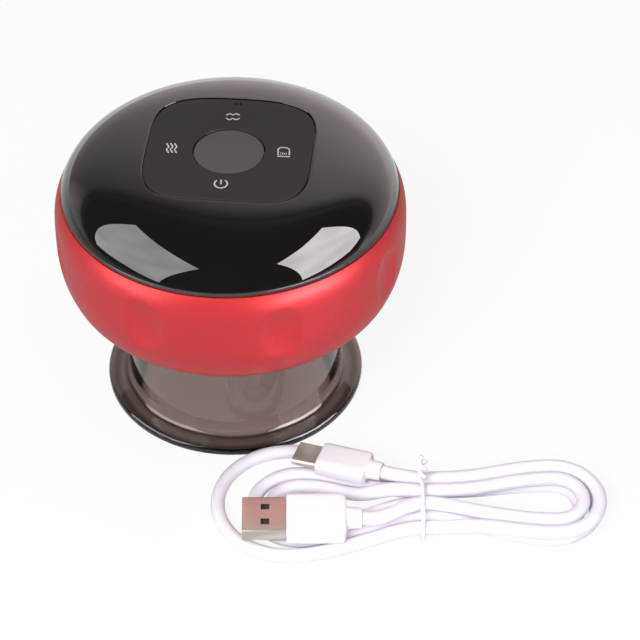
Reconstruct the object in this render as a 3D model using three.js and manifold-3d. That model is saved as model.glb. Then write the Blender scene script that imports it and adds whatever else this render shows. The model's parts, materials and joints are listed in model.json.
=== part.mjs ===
// Electric cupping massager: a clear cup with a motor head that stands on it, and its charging cable.
// Millimetres, +Z up. The origin is the middle of the cup's mouth, on the surface that it stands on.
// The power key points to -Y, the charging socket to +Y.
import * as THREE from 'three';
import { mergeVertices } from 'three/addons/utils/BufferGeometryUtils.js';
import Module from 'manifold-3d';

const wasm = await Module();
wasm.setup();

// Driving dimensions
const cup_height = 43.4;
const cup_wall_radius = 31.5;
const dome_rise = 12.3;
const seat_gap = 0.3;
const overrun = 2;

// Smoothness, in counts of facets
const head_facets = 40;
const cup_facets = 40;
const base_facets = 32;
const round_facets = 20;
const small_facets = 12;
const thread_facets = 8;
const curve_steps = 4;
const lowest_steps = 2;
const edge_steps = 5;

// The grip ring
const ring = {
  wall: 2.2,
  upper_bulge: 2.1,
  upper_bulge_power: 4.8,
  lower_bulge: 2.4,
  lower_bulge_power: 2.4,
  outline_steps: 4,
  outline_step_power: 1.6,
  widest_rise: 17.4,
  tuck_rise: 4.2,
  lip_inset: 5.1,
  ledge_clearance: 0.6,
  ledge_thickness: 2,
  dimple_count: 8,
  dimple_phase: Math.PI / 8,
  dimple_rise: 2,
  dimple_facets: 24,
  dimple_length: 17.5,
  dimple_width: 13.2,
  dimple_depth: 0.95,
  boss_radius: 3.2,
  boss_height: 6.4,
  post_width: 3.4,
  post_spread: 7,
  post_inset: 5.7,
};

// The top cover, with its rim and the recess for the key panel
const cover = {
  wall: 2,
  radial_power: 2.3,
  height_power: 2.6,
  outside_steps: 7,
  inside_steps: 4,
  outline_step_power: 0.85,
  rim_thickness: 0.5,
  rim_inset: 0.2,
  ledge_width: 1.2,
  seam_drop: 2.8,
  spigot_wall: 1.8,
  spigot_depth: 3.8,
  recess_depth: 1.3,
  snap_count: 4,
  snap_phase: Math.PI / 4,
  snap_width: 8,
  snap_height: 1.5,
  snap_reach: 0.9,
  snap_drop: 2.4,
};

// The key panel and what shows in it
const panel = {
  half_width: 23.2,
  corner_power: 4,
  back_shift: 2,
  thickness: 1,
  groove: 0.35,
  top_sink: 0.05,
  key_share: 0.532,
  outline_steps: 32,
};
const display = {
  window_radius: 9.45,
  window_sink: 0.5,
  window_thickness: 0.6,
  seat_width: 1.45,
  plug_depth: 1.2,
  air_gap: 0.9,
  module_width: 13,
  module_depth: 9,
  module_corner: 1,
  module_frame: 2,
};
const light_pipe = { radius: 0.75, foot_radius: 1.5, tip_radius: 0.45, edge_inset: 2.3, hole_radius: 1.05 };

// The key board under the dome, its switches and screws
const board = {
  edge_room: 14.5,
  thickness: 1.6,
  clearance: 0.9,
  screw_count: 3,
  screw_inset: 3.5,
  screw_phase: Math.PI / 4,
  boss_radius: 2.7,
  connector_x: -14,
  connector_y: 5.5,
};
const key_switch = {
  width: 6,
  body_height: 3.4,
  corner: 0.6,
  bore_radius: 2,
  floor_height: 1,
  plunger_radius: 1.6,
  plunger_taper: 0.8,
  hole_radius: 2.1,
  travel: 0.3,
};
const screw = {
  shank_radius: 1.1,
  head_radius: 2.4,
  head_height: 1.4,
  length: 6,
  pilot_radius: 1.4,
  slot_width: 0.7,
  slot_depth: 0.525,
  slot_length: 2.88,
};

// The base cover with the cup's socket
const base = {
  flange_thickness: 2.2,
  rim_clearance: 0.4,
  flange_least_width: 7.8,
  socket_clearance: 0.5,
  socket_wall: 2,
  socket_depth: 8.2,
  deck_thickness: 2,
  turret_clearance: 0.8,
  turret_wall: 1.8,
  turret_recess: 1,
  screw_phase: Math.PI / 4,
  screw_count: 4,
  vent_count: 5,
  vent_width: 1.4,
  vent_length: 3.6,
  vent_pitch: 0.075,
};

// The suction cup
const cup = {
  wall: 2.5,
  foot_reach: 6.5,
  foot_thickness: 2.6,
  foot_edge: 1.1,
  foot_fillet: 2.3,
  mouth_reach: 0.9,
  mouth_depth: 5,
  edge_steps: 2,
  fillet_steps: 3,
};
const seal = { thickness: 1.5, lip: 0.4, turret_gap: 0.5, socket_gap: 0.4, deck_gap: 0.6 };

// The plates in the cup's ceiling
const ceiling = {
  board_drop: 3.4,
  board_thickness: 1.2,
  board_hole_radius: 8,
  post_count: 3,
  post_phase: -Math.PI / 6,
  lamp_count: 8,
  lamp_width: 2.8,
  lamp_height: 0.9,
  lens_drop: 1.2,
  lens_width: 9.5,
  lens_gap: 0.4,
  lens_thickness: 1.6,
  lens_land: 1.6,
  heat_rim: 2.4,
  heat_thickness: 1,
  bleed_count: 4,
  suction_hole_radius: 4.2,
  filter_radius: 3.9,
  filter_height: 3,
};

// The battery cell on its saddles
const battery = {
  radius: 9.15,
  length: 65,
  back_shift: 20,
  underside_gap: 2.05,
  clearance: 2.04,
  cap_radius: 3.2,
  cap_height: 1.2,
  groove_depth: 0.45,
  groove_place: 3,
  saddle_spread: 21,
  saddle_width: 3,
  saddle_depth: 14.6,
  saddle_rise: 6,
};

// The charge board and its socket, in the back of the ring
const charging = {
  board_width: 20,
  board_depth: 10.3,
  board_thickness: 1.2,
  board_rise: 6.3,
  board_inset: 0.9,
  board_corner: 0.6,
  chip_width: 6.7,
  chip_depth: 3.3,
  chip_height: 1.1,
  socket_width: 8.94,
  socket_height: 3.16,
  socket_depth: 7.4,
  socket_wall: 0.3,
  tongue_width: 6.69,
  tongue_height: 0.7,
  tongue_depth: 5,
  mouth_inset: 0.5,
  hole_margin: 0.35,
};

// The vacuum pump, which lies along X
const pump = {
  front_shift: -16,
  underside_gap: 1.7,
  can_radius: 10.1,
  can_flat: 7.7,
  can_wall: 0.8,
  can_start: -28,
  can_length: 25,
  cap_thickness: 2.4,
  cap_boss_radius: 3,
  terminal_width: 2.2,
  terminal_thickness: 0.4,
  terminal_length: 3,
  terminal_spread: 5,
  shaft_radius: 1,
  armature_radius: 5.7,
  armature_length: 12,
  armature_slot_count: 3,
  armature_slot: 1.5,
  armature_core: 2.6,
  commutator_radius: 2.4,
  magnet_inner_radius: 6.3,
  magnet_thickness: 2.4,
  magnet_length: 14,
  magnet_half_angle: 0.62,
  case_length: 15,
  case_width: 20,
  case_height: 20,
  case_wall: 1.8,
  case_gap: 0.4,
  throw: 1.3,
  eccentric_radius: 4.2,
  eccentric_width: 5,
  eccentric_facets: 24,
  rod_wall: 1.7,
  rod_width: 4,
  rod_neck: 2.4,
  rod_plate_radius: 4,
  rod_plate_thickness: 1.2,
  rod_reach: 8.6,
  mouth_radius: 5.6,
  diaphragm_radius: 7.3,
  diaphragm_thickness: 1.1,
  diaphragm_bead: 0.5,
  valve_plate_thickness: 1.8,
  valve_hole_radius: 1.1,
  valve_hole_spread: 3.4,
  head_depth: 4.6,
  head_corner: 2,
  nozzle_radius: 1.5,
  nozzle_bore: 0.7,
  nozzle_length: 5.5,
  nozzle_rise: 3,
  clamp_width: 7,
  clamp_thickness: 1.2,
  clamp_foot: 6,
  clamp_place: 9.5,
  saddle_width: 3,
  saddle_depth: 11.5,
};

// The suction tube
const tube = { bore: 1.95, wall: 1, overlap: 4.5, straight: 1.5, bend_steps: 8, facets: 8, pull_share: 0.9 };
const port = { place_x: -14.5, place_y: 6, height: 5 };

// The release valve
const valve = {
  place_y: -6,
  pump_gap: 1.6,
  body_width: 12,
  body_height: 5,
  body_corner: 1,
  seat_radius: 1.6,
  coil_radius: 5,
  coil_bore: 2.8,
  coil_height: 9.4,
  coil_cheek: 1,
  yoke_thickness: 1,
  yoke_width: 8,
  plunger_radius: 2.2,
  plunger_lift: 3.2,
  disc_radius: 3.7,
  disc_thickness: 1,
  spring_radius: 3,
  spring_wire: 0.25,
  spring_turns: 3,
  spring_turn_steps: 8,
  spring_facets: 5,
  stroke: 0.8,
  port_inset: 3,
};

// The charging cable. Its hank lies in front of the cup, along its own axis.
const cable = {
  diameter: 4,
  facets: 6,
  spacing: 0.75,
  layer_spacing: 0.85,
  edge_slack: 0.25,
  lift: 0.1,
  place_x: 59,
  place_y: -55,
  turn: 0.096,
  bend_steps: 6,
  flare_steps: 4,
  exit_length: 4.2,
  rise_shares: [0, 0.5],
  late_rise_shares: [0.15, 0.6],
  long_rise_shares: [0, 0.6],
  last_bend_shares: [0.68, 0.66, 0.8],
  measure_step: 0.5,
  least_loop: 14,
};
const strand_pitch = cable.diameter + cable.spacing;
const layer_pitch = cable.diameter + cable.layer_spacing;

// The lobes that the cable makes to the right (side 1) and to the left (side -1) of its tie
const lobe_shapes = {
  right_outer: { side: 1, reach: 49.4, half_width: 12.85, shift: 0 },
  right_inner: { side: 1, reach: 44.6, half_width: 8, shift: 0 },
  top_outer: { side: 1, reach: 49.9, half_width: 12.85, shift: -2.2 },
  top_inner: { side: 1, reach: 45.2, half_width: 8, shift: -2.2 },
  left_outer: { side: -1, reach: 57.5, half_width: 20.4, shift: 1.7 },
  left_middle: { side: -1, reach: 47.5, half_width: 13, shift: 0 },
  left_inner: { side: -1, reach: 42.5, half_width: 8.2, shift: 0 },
};
const tie = {
  gauge: 1.1,
  facets: 6,
  clearance: 0.3,
  tail_length: 9,
  tail_turns: 1.5,
  tail_steps: 10,
  tail_lean_share: 0.8,
  reach_share: 1.08,
  over_share: 0.47,
  round_shares: [1, 0.25, -0.6, -1.35],
};

// The two plugs, along the cable's own axes
const usb_a = {
  tip: -50.3,
  shell_end: -38,
  grip_end: -21.5,
  neck_end: -17,
  across: -10.7,
  height: 8.7,
  roll: 0.14,
  shell_width: 12,
  shell_height: 4.5,
  shell_wall: 0.35,
  shell_corner: 0.5,
  shell_seat: 3,
  grip_width: 14.6,
  grip_height: 6.6,
  grip_corner: 2.2,
  neck_radius: 2.9,
  window_width: 2,
  window_length: 2.4,
  window_spread: 2.5,
  window_place: 6.4,
  tongue_width: 10.7,
  tongue_height: 1.8,
};
const usb_c = {
  neck_x: -11,
  neck_y: 7,
  height: 8.9,
  turn: -0.36,
  pitch: 0.055,
  neck_length: 4,
  grip_length: 14.5,
  shell_length: 7.4,
  shell_width: 8.25,
  shell_height: 2.4,
  shell_wall: 0.35,
  shell_seat: 3,
  grip_width: 10.6,
  grip_height: 5.6,
  grip_corner: 2.4,
  neck_radius: 2.7,
};
const plug_facets = 3;

// Turns in degrees, as a solid's own rotation takes them
const quarter_turn = 90;
const half_turn = 180;

// Sub-parts are kept here, each a named mesh
const massager = new THREE.Group();

function finish(color, roughness, metalness) {
  return new THREE.MeshStandardMaterial({ color, roughness, metalness });
}

const finishes = {
  gloss_black: finish('#1a1617', 0.12, 0),
  panel_grey: finish('#3d3737', 0.5, 0),
  window_grey: finish('#5b5555', 0.2, 0),
  red: finish('#c8323a', 0.35, 0.3),
  smoke: finish('#5b4640', 0.08, 0),
  black: finish('#232224', 0.5, 0),
  white: finish('#f2eff5', 0.45, 0),
  steel: finish('#b9b6b2', 0.25, 1),
  tin: finish('#c9c6c1', 0.35, 1),
  aluminium: finish('#c4c5c8', 0.4, 1),
  copper: finish('#b4683a', 0.4, 1),
  magnet: finish('#3a3a3d', 0.6, 0.2),
  green_board: finish('#1f5b3a', 0.5, 0),
  rubber: finish('#2b2b2d', 0.8, 0),
  silicone: finish('#d9d4cc', 0.6, 0),
  cell_blue: finish('#2f5f9e', 0.4, 0),
  red_lens: finish('#a3161c', 0.25, 0),
  foam: finish('#9a9894', 0.95, 0),
  nylon: finish('#dedad2', 0.5, 0),
};

// Turns a closed geometry into a solid, with its faces pointing out
function solid(geometry) {
  const bare = geometry.clone();
  bare.deleteAttribute('normal');
  bare.deleteAttribute('uv');
  const merged = mergeVertices(bare, 1e-4);
  const places = merged.attributes.position.array;
  const index = merged.index.array;
  const corners = [];
  let volume = 0;
  for (let i = 0; i < index.length; i += 3) {
    const [a, b, c] = [index[i], index[i + 1], index[i + 2]];
    if (a === b || b === c || c === a) {
      continue;
    }
    corners.push(a, b, c);
    const first = new THREE.Vector3().fromArray(places, a * 3);
    const second = new THREE.Vector3().fromArray(places, b * 3);
    const third = new THREE.Vector3().fromArray(places, c * 3);
    volume += first.dot(second.cross(third));
  }
  if (volume < 0) {
    corners.reverse();
  }
  const mesh = new wasm.Mesh({
    numProp: 3,
    vertProperties: new Float32Array(places),
    triVerts: new Uint32Array(corners),
  });
  return new wasm.Manifold(mesh);
}

function geometryOf(body) {
  const mesh = body.getMesh();
  const geometry = new THREE.BufferGeometry();
  geometry.setAttribute('position', new THREE.BufferAttribute(mesh.vertProperties, 3));
  geometry.setIndex(new THREE.BufferAttribute(mesh.triVerts, 1));
  geometry.computeVertexNormals();
  return geometry;
}

function addPiece(name, body, material) {
  const mesh = new THREE.Mesh(geometryOf(body), material);
  mesh.name = name;
  massager.add(mesh);
}

// A closed outline of [radius, height] pairs, turned about Z
function turned(points, facets = round_facets) {
  const outline = points.map(([radius, height]) => new THREE.Vector2(radius, height));
  const closed = outline[0].x > 0 || outline[outline.length - 1].x > 0;
  if (closed) {
    outline.push(outline[0].clone());
  }
  const geometry = new THREE.LatheGeometry(outline, facets);
  geometry.rotateX(Math.PI / 2);
  return solid(geometry);
}

function disc(radius, bottom, top, facets = round_facets) {
  const geometry = new THREE.CylinderGeometry(radius, radius, top - bottom, facets);
  geometry.rotateX(Math.PI / 2);
  geometry.translate(0, 0, (top + bottom) / 2);
  return solid(geometry);
}

function ringOf(inner, outer, bottom, top, facets = round_facets) {
  return turned([[inner, bottom], [outer, bottom], [outer, top], [inner, top]], facets);
}

function block(width, depth, height, x, y, z) {
  const geometry = new THREE.BoxGeometry(width, depth, height);
  geometry.translate(x, y, z);
  return solid(geometry);
}

function plate(shape, bottom, top, steps = curve_steps) {
  const geometry = new THREE.ExtrudeGeometry(shape, {
    depth: top - bottom,
    bevelEnabled: false,
    curveSegments: steps,
  });
  geometry.translate(0, 0, bottom);
  return solid(geometry);
}

function roundedShape(width, depth, corner) {
  const shape = new THREE.Shape();
  const [x, y] = [width / 2, depth / 2];
  shape.moveTo(corner - x, -y);
  shape.lineTo(x - corner, -y);
  shape.absarc(x - corner, corner - y, corner, -Math.PI / 2, 0);
  shape.lineTo(x, y - corner);
  shape.absarc(x - corner, y - corner, corner, 0, Math.PI / 2);
  shape.lineTo(corner - x, y);
  shape.absarc(corner - x, y - corner, corner, Math.PI / 2, Math.PI);
  shape.lineTo(-x, corner - y);
  shape.absarc(corner - x, corner - y, corner, Math.PI, Math.PI * 1.5);
  return shape;
}

function roundedBlock(width, depth, corner, bottom, top, steps = lowest_steps) {
  return plate(roundedShape(width, depth, corner), bottom, top, steps);
}

function at(body, x, y, z = 0) {
  return body.translate([x, y, z]);
}

function aboutZ(body, angle) {
  return body.rotate([0, 0, THREE.MathUtils.radToDeg(angle)]);
}

// Turns what was made along Z so that it lies along X, or along Y
function alongX(body) {
  return body.rotate([0, quarter_turn, 0]);
}

function alongY(body) {
  return body.rotate([-quarter_turn, 0, 0]);
}

// Copies of a body at equal angles about Z, joined
function around(body, count, phase = 0) {
  const copies = [];
  for (let i = 0; i < count; i += 1) {
    copies.push(aboutZ(body, phase + (i * 2 * Math.PI) / count));
  }
  return copies.reduce((all, one) => all.add(one));
}

function placesAround(count, radius, phase) {
  const places = [];
  for (let i = 0; i < count; i += 1) {
    const angle = phase + (i * 2 * Math.PI) / count;
    places.push([radius * Math.cos(angle), radius * Math.sin(angle)]);
  }
  return places;
}

function mix(from, to, share) {
  return from + (to - from) * share;
}

function easeShare(share) {
  const held = Math.min(Math.max(share, 0), 1);
  return held * held * (3 - 2 * held);
}

// A quarter bend from one point towards a corner point and on to another, as outline points
function bend(start, corner, end, steps = curve_steps) {
  const curve = new THREE.QuadraticBezierCurve(
    new THREE.Vector2(...start),
    new THREE.Vector2(...corner),
    new THREE.Vector2(...end),
  );
  return curve.getPoints(steps).map((point) => [point.x, point.y]);
}

// A curve that turns only at the points that it's given, so that a tube's steps stand there
class StepCurve extends THREE.Curve {
  constructor(points) {
    super();
    this.points = points;
  }

  getPoint(share) {
    const last = this.points.length - 1;
    const place = Math.min(Math.max(share, 0), 1) * last;
    const index = Math.min(Math.floor(place), last - 1);
    return this.points[index].clone().lerp(this.points[index + 1], place - index);
  }

  getUtoTmapping(share) {
    return share;
  }
}

// A round section carried from point to point, with flat ends, and a bore where one is given
function steppedTube(points, radius, facets, bore = 0) {
  const section = new THREE.Shape();
  section.absarc(0, 0, radius, 0, Math.PI * 2);
  if (bore > 0) {
    const hole = new THREE.Path();
    hole.absarc(0, 0, bore, 0, Math.PI * 2);
    section.holes.push(hole);
  }
  return solid(new THREE.ExtrudeGeometry(section, {
    steps: points.length - 1,
    extrudePath: new StepCurve(points),
    curveSegments: facets / 2,
  }));
}

// Heights, from the cup upwards
const deck_underside = cup_height + seat_gap + seal.thickness + seal.deck_gap;
const deck_top = deck_underside + base.deck_thickness;
const base_height = deck_underside - base.socket_depth;
const flange_top = base_height + base.flange_thickness;
const ledge_underside = flange_top + seat_gap;
const ledge_top = ledge_underside + ring.ledge_thickness;
const tuck_height = base_height + ring.tuck_rise;
const widest_height = base_height + ring.widest_rise;
const battery_axis = deck_top + battery.underside_gap + battery.radius;
const pump_axis = deck_top + pump.underside_gap + pump.case_height / 2;
const charge_board_top = ledge_top + charging.board_rise;
const socket_height = charge_board_top + seat_gap + charging.socket_height / 2;

// The release valve's own heights, from the deck to its plunger's top
const valve_body_top = deck_top + seat_gap + valve.body_height;
const yoke_bottom = valve_body_top + seat_gap;
const coil_bottom = yoke_bottom + valve.yoke_thickness + seat_gap;
const coil_top = coil_bottom + valve.coil_height;
const yoke_top = coil_top + seat_gap + valve.yoke_thickness;
const spring_bottom = yoke_top + seat_gap;
const spring_height = valve.stroke * 2 + valve.spring_wire * 2 * (valve.spring_turns + 1);
const valve_disc_bottom = spring_bottom + spring_height + seat_gap;
const valve_disc_top = valve_disc_bottom + valve.disc_thickness;

// The key board stands clear of all that lies under it, and the dome follows the board
const screw_room = screw.head_height + seat_gap;
const board_underside = board.clearance + Math.max(
  valve_disc_top + valve.stroke,
  pump_axis + pump.case_height / 2 + screw_room,
  battery_axis + battery.radius + screw_room,
);
const board_top = board_underside + board.thickness;
const seam_height = board_underside - cover.seam_drop;
const rim_underside = seam_height + seat_gap;
const rim_top = rim_underside + cover.rim_thickness;
const total_height = rim_top + dome_rise;

// Radii of the cup, its socket and the plates in its ceiling
const cup_inner_radius = cup_wall_radius - cup.wall;
const cup_foot_radius = cup_wall_radius + cup.foot_reach;
const turret_radius = cup_inner_radius - base.turret_clearance;
const turret_inner_radius = turret_radius - base.turret_wall;
const plate_radius = turret_inner_radius - seat_gap;
const lens_inner_radius = plate_radius - ceiling.lens_width;
const socket_radius = cup_wall_radius + base.socket_clearance;
const socket_outer_radius = socket_radius + base.socket_wall;

// The head goes round the battery cell's far corners and round the cup's socket
const battery_reach = battery.clearance + Math.hypot(battery.length / 2, battery.back_shift + battery.radius);
const lip_step = ring.lip_inset + ring.lower_bulge - ring.upper_bulge - ring.wall;
const socket_reach = socket_outer_radius + base.flange_least_width + base.rim_clearance + lip_step;
const ring_inner_radius = Math.max(battery_reach, socket_reach);
const seam_radius = ring_inner_radius + ring.wall;
const head_radius = seam_radius + ring.upper_bulge;
const tuck_radius = head_radius - ring.lower_bulge;
const lip_radius = tuck_radius - ring.lip_inset;
const base_radius = lip_radius - base.rim_clearance;
const base_screw_radius = (socket_outer_radius + base_radius) / 2;
const rim_radius = seam_radius - cover.rim_inset;
const dome_radius = rim_radius - cover.ledge_width;

// Places on the key panel and its board
const key_radius = mix(display.window_radius, panel.half_width - panel.back_shift, panel.key_share);
const opening_radius = display.window_radius - display.seat_width;
const light_pipe_place = panel.half_width + panel.back_shift - light_pipe.edge_inset;
const board_radius = dome_radius - board.edge_room;
const board_screw_radius = board_radius - board.screw_inset;

// The pump's parts, along the motor and then behind the crank case
const case_start = pump.can_start + pump.can_length + pump.case_gap;
const case_middle = case_start + pump.case_length / 2;
const case_back = pump.front_shift + pump.case_width / 2;
const diaphragm_front = case_back + seat_gap;
const valve_plate_front = diaphragm_front + pump.diaphragm_thickness + pump.diaphragm_bead / 2 + seat_gap;
const pump_head_front = valve_plate_front + pump.valve_plate_thickness + seat_gap;
const nozzle_reach = pump.case_length / 2 + pump.nozzle_length;
const clamp_middle = pump.can_start + pump.clamp_place;
const clamp_foot_place = pump.can_radius + pump.clamp_thickness + seat_gap + pump.clamp_foot / 2;
const clamp_foot_underside = pump_axis - pump.can_flat;

// The release valve stands beside the pump's right nozzle, with its port through the deck
const valve_x = case_middle + nozzle_reach + valve.pump_gap + valve.coil_radius + valve.coil_cheek;
const valve_port_x = valve_x - valve.port_inset;

function domeHeight(radius, drop = 0, inset = 0) {
  const reach = dome_radius - inset;
  const rise = total_height - rim_top - drop;
  const share = Math.min(radius / reach, 1);
  return rim_top + rise * (1 - share ** cover.radial_power) ** (1 / cover.height_power);
}

// Points down the dome from its top, closer together towards its steep edge
function domeOutline(drop = 0, inset = 0, steps = cover.outside_steps) {
  const points = [];
  const reach = dome_radius - inset;
  for (let i = 0; i <= steps; i += 1) {
    const radius = reach * Math.sin((i / steps) * (Math.PI / 2)) ** cover.outline_step_power;
    points.push([radius, domeHeight(radius, drop, inset)]);
  }
  return points;
}

// All that lies below the dome's surface, lowered by a drop
function belowDome(drop) {
  const lowered = domeOutline().map(([radius, height]) => [radius, height - drop]);
  const floor = rim_top - panel.half_width;
  return turned([...lowered, [dome_radius, floor], [0, floor]], head_facets);
}

function panelPrism(margin) {
  const shape = new THREE.Shape();
  const reach = panel.half_width + margin;
  for (let i = 0; i < panel.outline_steps; i += 1) {
    const angle = (i * 2 * Math.PI) / panel.outline_steps;
    const [c, s] = [Math.cos(angle), Math.sin(angle)];
    const corner_sum = Math.abs(c) ** panel.corner_power + Math.abs(s) ** panel.corner_power;
    const spread = corner_sum ** (-1 / panel.corner_power);
    const [x, y] = [reach * spread * c, reach * spread * s + panel.back_shift];
    if (i === 0) {
      shape.moveTo(x, y);
    } else {
      shape.lineTo(x, y);
    }
  }
  return plate(shape, rim_top, total_height + overrun);
}

const key_places = [
  ['power', 0, -key_radius],
  ['heat', -key_radius, 0],
  ['mode', 0, key_radius],
  ['suction', key_radius, 0],
];

function makeTopCover() {
  const spigot_outer = ring_inner_radius - seat_gap;
  const spigot_inner = spigot_outer - cover.spigot_wall;
  const spigot_end = rim_underside - cover.spigot_depth;
  const outside = domeOutline();
  const inside = domeOutline(cover.wall, dome_radius - spigot_inner, cover.inside_steps).reverse();
  let body = turned([
    ...outside,
    [rim_radius, rim_top],
    [rim_radius, rim_underside],
    [spigot_outer, rim_underside],
    [spigot_outer, spigot_end],
    [spigot_inner, spigot_end],
    ...inside,
  ], head_facets);
  const recess = panelPrism(panel.groove).subtract(belowDome(cover.recess_depth));
  body = body.subtract(recess);
  const snap_height = rim_underside - cover.snap_drop;
  const snap = block(cover.snap_reach + cover.spigot_wall, cover.snap_width, cover.snap_height,
    spigot_outer + (cover.snap_reach - cover.spigot_wall) / 2, 0, snap_height);
  body = body.add(around(snap, cover.snap_count, cover.snap_phase));
  const under_recess = belowDome((cover.wall + cover.recess_depth) / 2);
  for (const [x, y] of placesAround(board.screw_count, board_screw_radius, board.screw_phase)) {
    const boss = ringOf(screw.pilot_radius, board.boss_radius, board_top + seat_gap, total_height,
      thread_facets);
    body = body.add(at(boss, x, y).intersect(under_recess));
  }
  const key_hole = disc(key_switch.hole_radius, board_top, total_height + overrun, small_facets);
  for (const [, x, y] of key_places) {
    body = body.subtract(at(key_hole, x, y));
  }
  body = body.subtract(disc(opening_radius, board_top, total_height + overrun));
  const pipe_hole = disc(light_pipe.hole_radius, board_top, total_height + overrun, thread_facets);
  body = body.subtract(at(pipe_hole, 0, light_pipe_place));
  addPiece('top_cover', body, finishes.gloss_black);
}

function makeKeyPanel() {
  let body = panelPrism(0).intersect(belowDome(panel.top_sink)).subtract(belowDome(panel.thickness));
  body = body.subtract(disc(display.window_radius + seat_gap, rim_top, total_height + overrun));
  const pipe_hole = disc(light_pipe.hole_radius, rim_top, total_height + overrun, thread_facets);
  body = body.subtract(at(pipe_hole, 0, light_pipe_place));
  addPiece('key_panel', body, finishes.panel_grey);
}

function makeDisplay() {
  const top = total_height - display.window_sink;
  const underside = top - display.window_thickness;
  const plug_radius = opening_radius - seat_gap;
  const plug_end = underside - display.plug_depth;
  addPiece('display_window', turned([
    [0, top],
    [display.window_radius, top],
    [display.window_radius, underside],
    [plug_radius, underside],
    [plug_radius, plug_end],
    [0, plug_end],
  ]), finishes.window_grey);
  const bottom = board_top + seat_gap;
  const module_top = plug_end - display.air_gap;
  let module = roundedBlock(display.module_width, display.module_depth, display.module_corner, bottom,
    module_top);
  const recess_width = display.module_width - 2 * display.module_frame;
  const recess_depth = display.module_depth - 2 * display.module_frame;
  module = module.subtract(block(recess_width, recess_depth, display.module_corner, 0, 0, module_top));
  addPiece('display_module', module, finishes.black);
}

function makeLightPipe() {
  const bottom = board_top + seat_gap;
  const foot_top = bottom + light_pipe.foot_radius;
  const shoulder = domeHeight(light_pipe_place) - light_pipe.radius / 2;
  const tip = shoulder + light_pipe.radius / 2;
  const body = turned([
    [0, bottom],
    [light_pipe.foot_radius, bottom],
    [light_pipe.foot_radius, foot_top],
    [light_pipe.radius, foot_top],
    [light_pipe.radius, shoulder],
    [light_pipe.tip_radius, tip],
    [0, tip],
  ], thread_facets);
  addPiece('light_pipe', at(body, 0, light_pipe_place), finishes.silicone);
}

function makeKeyBoard() {
  let body = disc(board_radius, board_underside, board_top);
  for (const [x, y] of placesAround(board.screw_count, board_screw_radius, board.screw_phase)) {
    const hole = disc(screw.pilot_radius, board_underside - overrun, board_top + overrun, thread_facets);
    body = body.subtract(at(hole, x, y));
  }
  const connector = roundedBlock(key_switch.width * 2, key_switch.width, key_switch.corner,
    board_underside - key_switch.body_height, board_underside + board.thickness / 2);
  body = body.add(at(connector, board.connector_x, board.connector_y));
  addPiece('key_board', body, finishes.green_board);
}

function makeKeySwitches() {
  const bottom = board_top + seat_gap;
  const top = bottom + key_switch.body_height;
  const bore = disc(key_switch.bore_radius, bottom + key_switch.floor_height, top + overrun, small_facets);
  const foot = bottom + key_switch.floor_height + key_switch.travel + seat_gap;
  const tip = domeHeight(key_radius + key_switch.plunger_radius) - panel.thickness - seat_gap;
  const body = roundedBlock(key_switch.width, key_switch.width, key_switch.corner, bottom, top, 1);
  const housing = body.subtract(bore);
  for (const [name, x, y] of key_places) {
    addPiece(`${name}_switch`, at(housing, x, y), finishes.black);
    const plunger = turned([
      [0, foot],
      [key_switch.plunger_radius, foot],
      [key_switch.plunger_radius, tip - key_switch.plunger_taper],
      [key_switch.plunger_radius - key_switch.plunger_taper / 2, tip],
      [0, tip],
    ], thread_facets);
    addPiece(`${name}_key_plunger`, at(plunger, x, y), finishes.nylon);
  }
}

// A cross-head screw with its head at the bottom and its shank pointing up
function screwBody(head_bottom, length) {
  const head_top = head_bottom + screw.head_height;
  let body = turned([
    [0, head_bottom],
    [screw.head_radius, head_bottom],
    [screw.head_radius, head_top],
    [screw.shank_radius, head_top],
    [screw.shank_radius, head_top + length],
    [0, head_top + length],
  ], thread_facets);
  const slot_middle = head_bottom + (screw.slot_depth - overrun) / 2;
  for (const [width, depth] of [[screw.slot_length, screw.slot_width], [screw.slot_width, screw.slot_length]]) {
    body = body.subtract(block(width, depth, screw.slot_depth + overrun, 0, 0, slot_middle));
  }
  return body;
}

function makeBoardScrews() {
  const head_bottom = board_underside - seat_gap - screw.head_height;
  placesAround(board.screw_count, board_screw_radius, board.screw_phase).forEach(([x, y], i) => {
    addPiece(`board_screw_${i + 1}`, at(screwBody(head_bottom, screw.length), x, y), finishes.steel);
  });
}

// The grip ring's outer surface, from the seam down to its lip
function ringOutline() {
  const points = [];
  for (let i = 0; i <= ring.outline_steps; i += 1) {
    const share = (i / ring.outline_steps) ** ring.outline_step_power;
    const radius = mix(seam_radius, head_radius, 1 - (1 - share) ** ring.upper_bulge_power);
    points.push([radius, mix(seam_height, widest_height, share)]);
  }
  for (let i = 1; i <= ring.outline_steps; i += 1) {
    const share = i / ring.outline_steps;
    const radius = mix(head_radius, tuck_radius, share ** ring.lower_bulge_power);
    points.push([radius, mix(widest_height, tuck_height, share)]);
  }
  const slope = (ring.lower_bulge_power * ring.lower_bulge) / (widest_height - tuck_height);
  const corner_radius = tuck_radius - slope * ring.tuck_rise;
  const under = bend([tuck_radius, tuck_height], [corner_radius, base_height], [lip_radius, base_height]);
  return [...points, ...under.slice(1)];
}

function dimpleAt(angle) {
  const half_width = ring.dimple_width / 2;
  const ball_radius = (half_width ** 2 + ring.dimple_depth ** 2) / (2 * ring.dimple_depth);
  const stretch = ring.dimple_length / ring.dimple_width;
  const ball = new THREE.SphereGeometry(ball_radius, ring.dimple_facets, ring.dimple_facets);
  ball.scale(1, 1, stretch);
  ball.translate(head_radius - ring.dimple_depth + ball_radius, 0, widest_height + ring.dimple_rise);
  return aboutZ(solid(ball), angle);
}

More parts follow.
